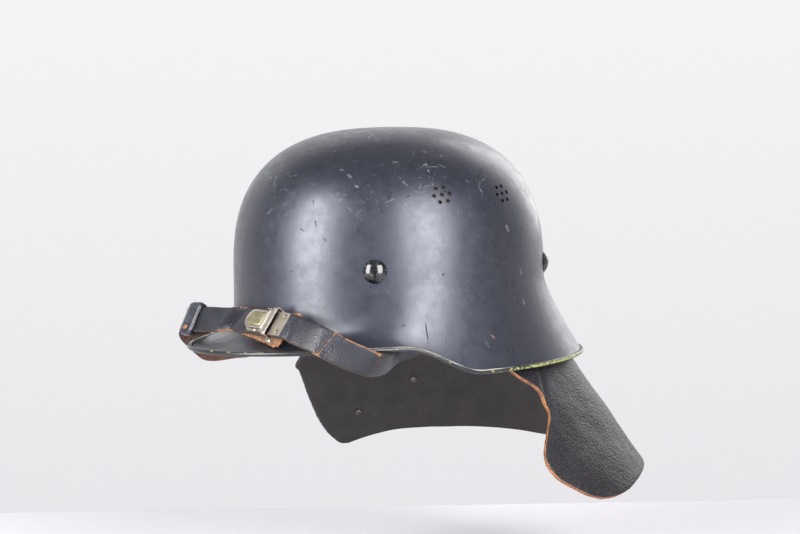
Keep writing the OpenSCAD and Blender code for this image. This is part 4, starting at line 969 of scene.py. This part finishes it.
half_w, half_t = STRAP_W / 2 + SLIDER_GAP, STRAP_T / 2 + SLIDER_GAP


def keeper_ring(hw, hf, r):
    """The outline of a rounded box with even points, as (w, f) from its middle."""
    path, corners = [], ((1, 1), (-1, 1), (-1, -1), (1, -1))
    for k in range(4):
        ends = []
        for (sw, sf), start in ((corners[k], 90 * k), (corners[(k + 1) % 4], 90 * k + 90)):
            turn = np.radians(start + np.linspace(0, 90, 7))
            ends.append(np.stack([sw * (hw - r) + r * np.cos(turn),
                                  sf * (hf - r) + r * np.sin(turn)], -1))
        steps = 40 if k % 2 == 0 else 5
        share = (np.arange(1, steps) / steps)[:, None]
        path += [ends[0], mix(ends[0][-1], ends[1][0], share)]
    return np.concatenate(path)


# Its rows run along the outside and back along the inside, which is drawn with no wall on it.
stations = np.linspace(-1, 1, STATIONS)
rim = np.sqrt(1 - np.clip((abs(stations) - (1 - ROLLED_SHARE)) / ROLLED_SHARE, 0, 1) ** 2)
rows, wear = [], []
for x, full in list(zip(stations, rim)) + [(x, -1) for x in (0.98, 0.5, 0, -0.5, -0.98)]:
    depth = SLIDER_WALL * (0.25 + 0.75 * full) if full >= 0 else 0
    ring = keeper_ring(half_w + SIDE_THICKENS * depth, half_t + depth, 0.9 + depth)
    w, f = ring[:, 0], ring[:, 1]
    edge = np.clip(abs(w) - (half_w + SIDE_THICKENS * SLIDER_WALL - FACE_CORNER), 0,
                   FACE_CORNER * 0.96)
    inset_by = FACE_CORNER - np.sqrt(FACE_CORNER ** 2 - edge ** 2)
    along = x * (SLIDER_L / 2 - inset_by)
    if full >= 0:
        frame_w = abs(w) - (half_w - CREASE_ASIDE)
        frame_x = abs(along) - (SLIDER_L / 2 - CREASE_IN)
        most = np.maximum(frame_w, frame_x)
        off = np.where(most > 0, np.hypot(np.maximum(frame_w, 0), np.maximum(frame_x, 0)), -most)
        f = f + (f > half_t) * (FACE_SWELL * (1 - x * x)
                                - CREASE_D * np.exp(-(off / CREASE_W) ** 2))
    rows.append(slider_mid + np.outer(along - SLIDER_SKEW * w, slider_x) + np.outer(w, slider_w)
                + np.outer(f, slider_f))
    worn = np.exp(-((along - WORN_ALONG) ** 2 / 8 + (w - WORN_ASIDE) ** 2 / 3.4))
    wear.append(0.9 * worn * (f > half_t) + (0.24 if abs(x) > 0.9 else 0.08))
slider_hide = leather("polished_black_leather", "#202127", "#3f4149", "#b07a50", grain_mm=2.2,
                      depth_mm=0.012, roughness=0.26, tone_mm=12)
slider = loft_object("strap_slider_keeper", np.array(rows), [slider_hide], around=True,
                     wear=np.array(wear), sharp=50)
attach(slider, "slider")
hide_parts("strap_slider")

# The buckle: a press lever of brass under worn nickel, hinged on a pin over its base plate, which
# holds the strap's tongue under a bent steel bridge. A catch plate is riveted beside it.

# Nickel plate, worn: warm and dim, in patches about 5 mm wide that are duller where they are
# darker, with shallow dents.
nickel = speckled("worn_nickel_plate", (0.5, 0.34), 1.0, "#938a80", "#cbc3b9", speckle_mm=5,
                  detail=5.0, coarse=0.65, dent_mm=0.03)

# Brass where the plating has gone: olive with age and only softly bright, with rub lines along
# the lever. The real lines are finer than shows, so they are drawn 1.2 mm apart.
brass, tree, shader, where = new_finish("aged_brass", 0.46, 0.7)
lane = add(tree, "Mapping", {
    "Vector": where, "Rotation": (0, 0, 0.1),
    "Scale": (1 / (16 * MM), 1 / (1.2 * MM), 1 / (1.2 * MM))})
rubs = add(tree, "TexNoise", {"Vector": lane, "Scale": 1.0, "Detail": 3.0})
age = add(tree, "TexNoise", {"Vector": where, "Scale": 1 / (4 * MM), "Detail": 5.0})
blend_in = add(tree, "Math", {0: rubs, 1: 0.5, 2: age}, operation="MULTIPLY_ADD")
share = add(tree, "MapRange", {"Value": blend_in, "From Min": 0.55, "From Max": 0.95})
tone = add(tree, "Mix", {"Factor": share, 6: hue("#6f6852"), 7: hue("#8d856a")}, data_type="RGBA")
dent = add(tree, "Bump", {"Strength": 1.0, "Distance": 0.04 * MM, "Height": blend_in})
feed(shader, {"Base Color": tone, "Normal": dent})

buckle_at = Matrix((buckle_x, buckle_y, buckle_z)).transposed().to_4x4()
buckle_at.translation = Vector(buckle_o[:3] + buckle_z * STRAP_T / 2)


def round_ended(length, width, d):
    """The outline of a plate with a broad round far end, drawn in by d, as (x, y)."""
    r, half, corner = width * 0.505, width / 2, 1.6
    reach = math.degrees(math.asin((half - d) / (r - d)))
    end = [(-length + r + (r - d) * math.cos(math.radians(180 + t)),
            (r - d) * math.sin(math.radians(180 + t))) for t in np.linspace(-reach, reach, 25)]
    near = [(-d - (corner - d) * (1 - math.cos(t)) if corner > d else -d,
             sign * (half - d - max(corner - d, 0) * (1 - math.sin(t))))
            for sign, first, last in ((-1, math.pi / 2, 0), (1, 0, math.pi / 2))
            for t in np.linspace(first, last, 7)]
    return np.array(end + near)


def pressed_plate(name, outline, layers, at, finishes, kinds):
    """A plate pressed or stamped to layers of (drawn in by, height); both flats are closed."""
    rows = []
    for d, z in layers:
        flat = outline(d)
        rows.append(np.column_stack([flat, np.full(len(flat), z)]))
    near, far = (np.tile(row.mean(axis=0), (len(row), 1)) for row in (rows[0], rows[-1]))
    local = np.array([near] + rows + [far]).transpose(1, 0, 2)
    turned = np.array(at.to_3x3()) @ local.reshape(-1, 3).T
    points = turned.T.reshape(local.shape) + np.array(at.translation)
    return loft_object(name, points, finishes, slots=kinds, around=True, closed=False, sharp=38)


LEVER_L, LEVER_W, LEVER_T, LEVER_LIFT, PIN_X, PIN_Z = 21, 14, 1.4, 0.8, -5.2, 2.8
foot = PIN_Z + LEVER_LIFT - LEVER_T / 2
top = foot + LEVER_T
lever_at = buckle_at @ Matrix.Translation((PIN_X + 1.4, 0, 0))
lever = pressed_plate("press_lever", lambda d: round_ended(LEVER_L, LEVER_W, d),
                      [(0.35, foot), (0.0, foot + 0.35), (0.0, top - 0.45), (0.12, top - 0.15),
                       (0.45, top), (1.35, top + 0.02), (1.6, top - 0.12), (1.95, top - 0.12),
                       (2.15, top + 0.15), (2.4, top + 0.5), (2.9, top + 0.68), (4.4, top + 0.78)],
                      lever_at, [nickel, brass], [0] * 7 + [1] * 6)
barrel_rows = []
for y, r in ((-6.8, 0.9), (-6.8, 1.45), (-6.65, 1.6), (6.65, 1.6), (6.8, 1.45), (6.8, 0.9)):
    barrel_rows.append([buckle_at @ Vector((PIN_X + r * math.cos(t), y, PIN_Z + r * math.sin(t)))
                        for t in np.radians(np.arange(0, 360, 12))])
barrel = loft_object("lever_barrel", np.array(barrel_rows), [nickel], around=True, sharp=40)
for part in (lever, barrel):
    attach(part, "lever")
    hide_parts("buckle_lever")

finish_node("buckle_base", nickel, 0.15)
finish_node("buckle_catch", nickel, 0.12)
for node in ("base_rivets", "lever_pin", "lever_spring"):
    finish_node(node, nickel, 0.08)

# The catch plate is held by two tubular rivets of brass. Each was rolled over by a punch into a
# ring round its hollow end.
CATCH_X, CATCH_L, RIVET_Y, RIVET_R, PLATE_TOP = 1.2, 11.4, 6, 1.75, 1.05
for k, y in enumerate((-RIVET_Y, RIVET_Y)):
    turn = np.radians(np.arange(0, 360, 12))
    head = pressed_plate(f"catch_rivet_{k + 1}",
                         lambda d: np.stack([(RIVET_R - d) * np.cos(turn),
                                             (RIVET_R - d) * np.sin(turn)], -1),
                         [(0.15, PLATE_TOP + 0.02), (0.0, PLATE_TOP + 0.2),
                          (0.2, PLATE_TOP + 0.5), (0.55, PLATE_TOP + 0.62),
                          (0.85, PLATE_TOP + 0.5), (1.0, PLATE_TOP + 0.15),
                          (1.45, PLATE_TOP + 0.1)],
                         buckle_at @ Matrix.Translation((CATCH_X + CATCH_L * 0.62, y, 0)),
                         [brass], [0] * 8)
    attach(head, "helmet")
    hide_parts("catch_rivets")

# The bridge is a steel strip, nickelled and bent up over the strap; its lower end turns out
# into a foot that is riveted through the backing.
BRIDGE_W, BRIDGE_Y, METAL_T = 4.2, STRAP_W / 2 + 0.4, 0.9
strip = spline([(-BRIDGE_Y - 0.45, -STRAP_T), (-BRIDGE_Y - 0.45, 0.5), (-BRIDGE_Y - 0.4, 2.7),
                (-BRIDGE_Y + 0.7, 3.85), (-7, 4.0), (0, 4.05), (7, 4.0), (BRIDGE_Y - 0.7, 4.0),
                (BRIDGE_Y + 0.45, 3.1), (BRIDGE_Y + 0.45, 0.5), (BRIDGE_Y + 0.45, -STRAP_T)], 6)
across = unit(np.gradient(strip, axis=0)) @ np.array([[0, -1], [1, 0]])
edge = [(-1, -0.3), (-0.93, -0.46), (-0.8, -0.5), (0.8, -0.5), (0.93, -0.46), (1, -0.3), (1, 0.3),
        (0.93, 0.46), (0.8, 0.5), (-0.8, 0.5), (-0.93, 0.46), (-1, 0.3)]
rings = [[buckle_at @ Vector((u * BRIDGE_W / 2, y + v * METAL_T * ny, z + v * METAL_T * nz))
          for u, v in edge] for (y, z), (ny, nz) in zip(strip, across)]
bridge = loft_object("buckle_bridge_strip", np.array(rings), [nickel], ends=True, sharp=40)
foot_line = np.array([(3.2, 0.4), (3.0, 0.9), (2.6, 1.2), (-3.0, 1.2), (-3.2, 1.0), (-3.2, -1.0),
                      (-3.0, -1.2), (2.6, -1.2), (3.0, -0.9), (3.2, -0.4)])
flange = pressed_plate("buckle_bridge_foot", lambda d: foot_line - d * np.sign(foot_line),
                       [(0.15, -2.2), (0.0, -2.05), (0.0, -1.4), (0.15, -1.25)],
                       buckle_at @ Matrix.Translation((1.7, -BRIDGE_Y - 2.1, 0)), [nickel],
                       [0] * 5)
for part in (bridge, flange):
    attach(part, "helmet")
    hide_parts("buckle_bridge")

# The neck leather: thick black hide, cut with two deep lobes and hung inside the shell's rear
# edge. It has dried into soft waves, with a crease near its front edge, and its cut edge shows
# two glued layers.
NECK_T, NECK_GAP, HEM_Z, NECK_FLARE, NECK_SIDE_FLARE, NECK_TOP_Z = 3, 11.4, -83, 0.69, 0.55, 16
left_edge = [(-262, 16), (-259, 4), (-255.2, -9.2), (-247.9, -20.4), (-246.6, -30.6),
             (-247.6, -39.6), (-252.1, -50.3), (-256.9, -62.6), (-257.7, -71.3), (-255.9, -79.4),
             (-252.6, -85.5), (-249, -91.2), (-245.6, HEM_Z - 11.4)]
right_edge = [(-91, 16), (-87, 0), (-83.1, -17.5), (-85.4, -22.7), (-89.6, -33.1), (-92.9, -43.5),
              (-96.4, -54.2), (-99.6, -65), (-103.6, -76.2), (-106.1, -82.1), (-109, -88),
              (-111.5, HEM_Z - 6.1)]
hem = [(-111.5, HEM_Z - 6.1), (-119, HEM_Z - 0.1), (-125, HEM_Z + 3.3), (-132, HEM_Z + 4.6),
       (-141, HEM_Z + 5.3), (-150, HEM_Z + 5), (-158, HEM_Z + 2.8), (-166, HEM_Z - 0.4),
       (-175, HEM_Z - 2.4), (-185, HEM_Z - 3), (-198, HEM_Z - 3.4), (-213, HEM_Z - 4.3),
       (-226, HEM_Z - 6.7), (-235, HEM_Z - 10.6), (-241.2, HEM_Z - 12.1), (-245.6, HEM_Z - 11.4)]


def neck_k(a):
    return mix(NECK_SIDE_FLARE, NECK_FLARE, smooth(abs(a), 90, 135))


def neck_r(a, z):
    return rim_r(a) - BEAD_R - NECK_GAP + neck_k(a) * (rim_z(a) - z)


def even_points(route, count):
    curve = spline(route, 8)
    step = distances(curve)
    at = np.linspace(0, step[-1], count)
    return np.stack([np.interp(at, step, curve[:, 0]), np.interp(at, step, curve[:, 1])], -1)


NECK_COLS, NECK_ROWS, NECK_WAVES, RUB_WAVE = 181, 61, ((1.5, 46), (0.5, 15)), (0.2, 17)
edge_l, edge_r = even_points(left_edge, NECK_ROWS), even_points(right_edge, NECK_ROWS)
edge_hem = even_points(hem, NECK_COLS)
c = np.linspace(0, 1, NECK_COLS)[:, None, None]
s = np.linspace(0, 1, NECK_ROWS)[None, :, None]
cut = (mix(edge_r[None], edge_l[None], c)
       + s * (edge_hem[:, None] - mix(edge_hem[0], edge_hem[-1], c)))
angle = np.where(cut[..., 0] < -180, cut[..., 0] + 360, cut[..., 0])
mid = polar(angle, neck_r(angle, cut[..., 1]), cut[..., 1])
out = unit(np.cross(np.gradient(mid, axis=0), np.gradient(mid, axis=1)))
out *= np.where((out[..., :2] * mid[..., :2]).sum(-1) > 0, 1, -1)[..., None]
drop = np.clip((NECK_TOP_Z - cut[..., 1]) / 40, 0, 1)
wave = np.array([[ripple(p, *NECK_WAVES) for p in row] for row in mid])
# The crease is a line between two places given as (angle, height), where a degree is ARC mm.
ARC = 2.5
crease_top, crease_foot = np.array([120 * ARC, -9.0]), np.array([113.2 * ARC, -34.0])
flat, run = np.stack([angle * ARC, cut[..., 1]], -1), crease_foot - crease_top
share = np.clip(((flat - crease_top) @ run) / (run @ run), -0.5, 1.15)
off = flat - crease_top - share[..., None] * run
far = np.linalg.norm(off, axis=-1) * np.sign(off[..., 0] + 1e-9)
reach = smooth(share, -0.5, 0.1) * (1 - smooth(share, 0.8, 1.15))
crease = reach * (-1.4 * np.exp(-(far / 2.2) ** 2) + 1.0 * np.exp(-((far + 6) / 5) ** 2))
mid = mid + out * (drop * wave + crease)[..., None]
border = np.ones((NECK_COLS, NECK_ROWS))
for k in range(2):
    border[k, :] = border[-1 - k, :] = border[:, -1 - k] = k * 0.3
rub = 0.26 * (1 - border) + 0.05
rub += 0.22 * np.exp(-(far / 0.9) ** 2) * reach
rub += np.array([[ripple(p, RUB_WAVE) for p in row] for row in mid]) * (drop > 0.3)
# Its grain side is dyed black, matt with age and cracked at the crease. Its flesh side is dark and
# smoothed, with little grain to see.
neck_hide = leather("weathered_neck_hide", "#121114", "#242226", "#6d4731", grain_mm=1.5,
                    depth_mm=0.42, roughness=0.42, tone_mm=30, crease=1.2)
feed(neck_hide.node_tree.nodes["Principled BSDF"], {"Specular IOR Level": 0.3})
neck_lining = leather("neck_hide_flesh_side", "#1e1a1c", "#302a2c", "#3a302d", grain_mm=1.6,
                      depth_mm=0.05, roughness=0.6, tone_mm=20)
turned = np.cross(mid[1, 0] - mid[0, 0], mid[0, 1] - mid[0, 0]) @ out[0, 0] < 0
neck_layers = [neck_hide, neck_lining, cut_hide, glue_line]
neck = sheet_object("neck_leather_hide", mid[::-1] if turned else mid, NECK_T, neck_layers,
                    wear=rub[::-1] if turned else rub, edge_wander=0.5)
for face in neck.data.polygons:
    if face.material_index > 1 and face.center.x < 20 * MM:
        face.material_index = 1
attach(neck, "neck_guard")
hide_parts("neck_leather")

# Three short straps, cut from the same hide, carry the neck leather. Each hangs from a stud on the
# liner's band and is fixed by another stud behind the leather's upper edge.
TAB_A, TAB_W, TAB_T, TAB_Z, TAB_STUD_D = (167, 180, 193), 14, 2, BAND_Z + 13, 4
TAB_BASE, TAB_SEAT = SEAT + LEATHER_T + 0.6, NECK_T + 0.5
for k, a in enumerate(TAB_A):
    rows = []
    for b in a + np.linspace(-1, 1, 9) * TAB_W / 2 / 105 * 180 / math.pi:
        hung = [(band_r(b) + TAB_BASE + TAB_T / 2, TAB_Z + 7),
                (band_r(b) + TAB_BASE + TAB_T / 2, TAB_Z),
                (band_r(b) + TAB_BASE + TAB_T / 2, TAB_Z - 6),
                (neck_r(b, NECK_TOP_Z + 6) - TAB_SEAT, NECK_TOP_Z + 6),
                (neck_r(b, NECK_TOP_Z - 3) - TAB_SEAT, NECK_TOP_Z - 3),
                (neck_r(b, NECK_TOP_Z - 12) - TAB_SEAT, NECK_TOP_Z - 12)]
        rows.append(polar(b, *spline(hung, 5).T))
    tab = sheet_object(f"neck_hanging_tab_{k + 1}", np.array(rows), TAB_T, neck_layers,
                       edge_wander=0.15)
    hole = Matrix((polar(a + 90, 1, 0), (0, 0, 1), polar(a, 1, 0))).transposed().to_4x4()
    hole.translation = Vector(polar(a, band_r(a) + TAB_BASE, TAB_Z)) * MM
    bore(tab, [hole], TAB_STUD_D / 2 + 0.6, depth_mm=12)
    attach(tab, "neck_guard")
    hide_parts("neck_tabs")

# Their studs are turned brass that years of handling and damp have left dark and grey. A soft,
# dim highlight is left, in spots about 2 mm wide.
dark_brass = speckled("darkened_brass", 0.5, 1.0, "#3d3937", "#837d76", speckle_mm=2, detail=4.0)
for node in ("neck_studs", "tab_studs"):
    finish_node(node, dark_brass, 0.25)

# The plain pale room: a level table, a wall behind it, a tall soft light on each side of the
# camera and a wide one overhead.
PHOTO_W, PHOTO_H, FOCAL_PX, CENTRE_PX, SENSOR = 800, 534, 1750, (390.34, 266.1), 36
AIM, DISTANCE = Vector((0, 0, 60)) * MM, 1250 * MM
AZIMUTH, ELEVATION, ROLL = (math.radians(v) for v in (54.92, 2.9, -1.01))
back = Vector((math.sin(AZIMUTH) * math.cos(ELEVATION), -math.cos(AZIMUTH) * math.cos(ELEVATION),
               math.sin(ELEVATION)))
right = Vector((math.cos(AZIMUTH), math.sin(AZIMUTH), 0))
over = back.cross(right)
eye = bpy.data.cameras.new("photo_view")
eye.sensor_width, eye.lens = SENSOR, SENSOR * FOCAL_PX / PHOTO_W
eye.shift_x = (PHOTO_W / 2 - CENTRE_PX[0]) / PHOTO_W
eye.shift_y = (CENTRE_PX[1] - PHOTO_H / 2) / PHOTO_W
eye.clip_start, eye.clip_end = 0.05, 30
camera = placed("photo_view", eye)
spin = Matrix((right * math.cos(ROLL) + over * math.sin(ROLL),
               over * math.cos(ROLL) - right * math.sin(ROLL), back)).transposed()
camera.matrix_world = Matrix.Translation(AIM + back * DISTANCE) @ spin.to_4x4()
bpy.context.scene.camera = camera


def card_sheet(name, corners, finish):
    mesh = bpy.data.meshes.new(name)
    mesh.from_pydata(corners, [], [list(range(len(corners)))])
    mesh.materials.append(finish)
    placed(name, mesh)


# The table's and the wall's edges are in metres from the place on the floor below the camera.
level_y = Vector((-math.sin(AZIMUTH), math.cos(AZIMUTH), 0))
footing = Vector((camera.location.x, camera.location.y, 0))
TABLE_Z, TABLE_HALF_W, TABLE_NEAR, TABLE_FAR = -0.175, 2.5, -2, 1.577
WALL_FAR, WALL_HALF_W, WALL_FOOT, WALL_TOP = 3.4, 4, -2, 3
table_paint, tree, shader, where = new_finish("matt_white_table", 0.75)
feed(shader, {"Base Color": hue("#d6d4d8")})
card_sheet("table", [footing + right * x + level_y * y + Vector((0, 0, TABLE_Z))
                     for x, y in ((-TABLE_HALF_W, TABLE_NEAR), (TABLE_HALF_W, TABLE_NEAR),
                                  (TABLE_HALF_W, TABLE_FAR), (-TABLE_HALF_W, TABLE_FAR))],
           table_paint)


def seen_rays(tree):
    """1 for what the eye, a reflection or a view through glass shows of the room, else 0."""
    path = add(tree, "LightPath")
    either = add(tree, "Math", {
        0: path.outputs["Is Camera Ray"], 1: path.outputs["Is Glossy Ray"]}, operation="MAXIMUM")
    return add(tree, "Math", {
        0: either, 1: path.outputs["Is Transmission Ray"]}, operation="MAXIMUM")


wall_paint, tree, shader, where = new_finish("matt_white_wall", 0.9)
height_at = add(tree, "SeparateXYZ", {0: where})
# Painted light: the wall's colour grows lighter towards the top, as the room's light falls on it.
wall_light_fade = add(tree, "MapRange", {"Value": height_at.outputs[2], "From Min": -0.7, "From Max": 0.7})
tone = add(tree, "Mix", {"Factor": wall_light_fade, 6: hue("#e6e4e8"), 7: hue("#f7f7f9")}, data_type="RGBA")
feed(shader, {"Base Color": tone})
rays = seen_rays(tree)
lit = add(tree, "Emission", {"Color": tone, "Strength": 1.0})
share = add(tree, "MixShader", {"Fac": rays, 1: shader, 2: lit})
feed(tree.nodes["Material Output"], {"Surface": share})
card_sheet("wall", [footing + right * x + level_y * WALL_FAR + Vector((0, 0, z))
                    for x, z in ((-WALL_HALF_W, WALL_FOOT), (WALL_HALF_W, WALL_FOOT),
                                 (WALL_HALF_W, WALL_TOP), (-WALL_HALF_W, WALL_TOP))], wall_paint)
world = bpy.data.worlds.new("white_room")
bpy.context.scene.world = world
world.use_nodes = True
tree = world.node_tree
rays = seen_rays(tree)
light = tree.nodes["Background"]
feed(light, {"Color": hue("#f4f5f8"), "Strength": 0.25})
toward = add(tree, "TexCoord")
upward = add(tree, "SeparateXYZ", {0: toward.outputs["Generated"]})
ceiling = add(tree, "MapRange", {"Value": upward.outputs[2], "From Min": 0.2, "From Max": 0.65})
tone = add(tree, "Mix", {"Factor": ceiling, 6: hue("#cac8ce"), 7: hue("#8b8892")}, data_type="RGBA")
seen = add(tree, "Background", {"Color": tone, "Strength": 1.0})
share = add(tree, "MixShader", {"Fac": rays, 1: light, 2: seen})
feed(tree.nodes["World Output"], {"Surface": share})


def soft_light(name, azimuth, elevation, distance, width, height, watts):
    """A softbox that faces the helmet from an azimuth and a height above the horizon."""
    lamp = bpy.data.lights.new(name, "AREA")
    lamp.shape, lamp.size, lamp.size_y, lamp.energy = "RECTANGLE", width, height, watts
    box = placed(name, lamp)
    a, e = math.radians(azimuth), math.radians(elevation)
    away = Vector((math.sin(a) * math.cos(e), -math.cos(a) * math.cos(e), math.sin(e)))
    box.location = AIM + away * distance
    box.rotation_euler = away.to_track_quat("Z", "Y").to_euler()


soft_light("left_softbox", 2, 16, 1.6, 0.75, 1.5, 56)
soft_light("right_softbox", 85, 16, 1.6, 0.85, 1.5, 56)
soft_light("overhead", 60, 84, 1.6, 1.6, 1.6, 2)
soft_light("rear_left_rim", 200, 25, 1.7, 0.8, 1.4, 8)

bpy.context.scene.view_settings.view_transform = "Standard"
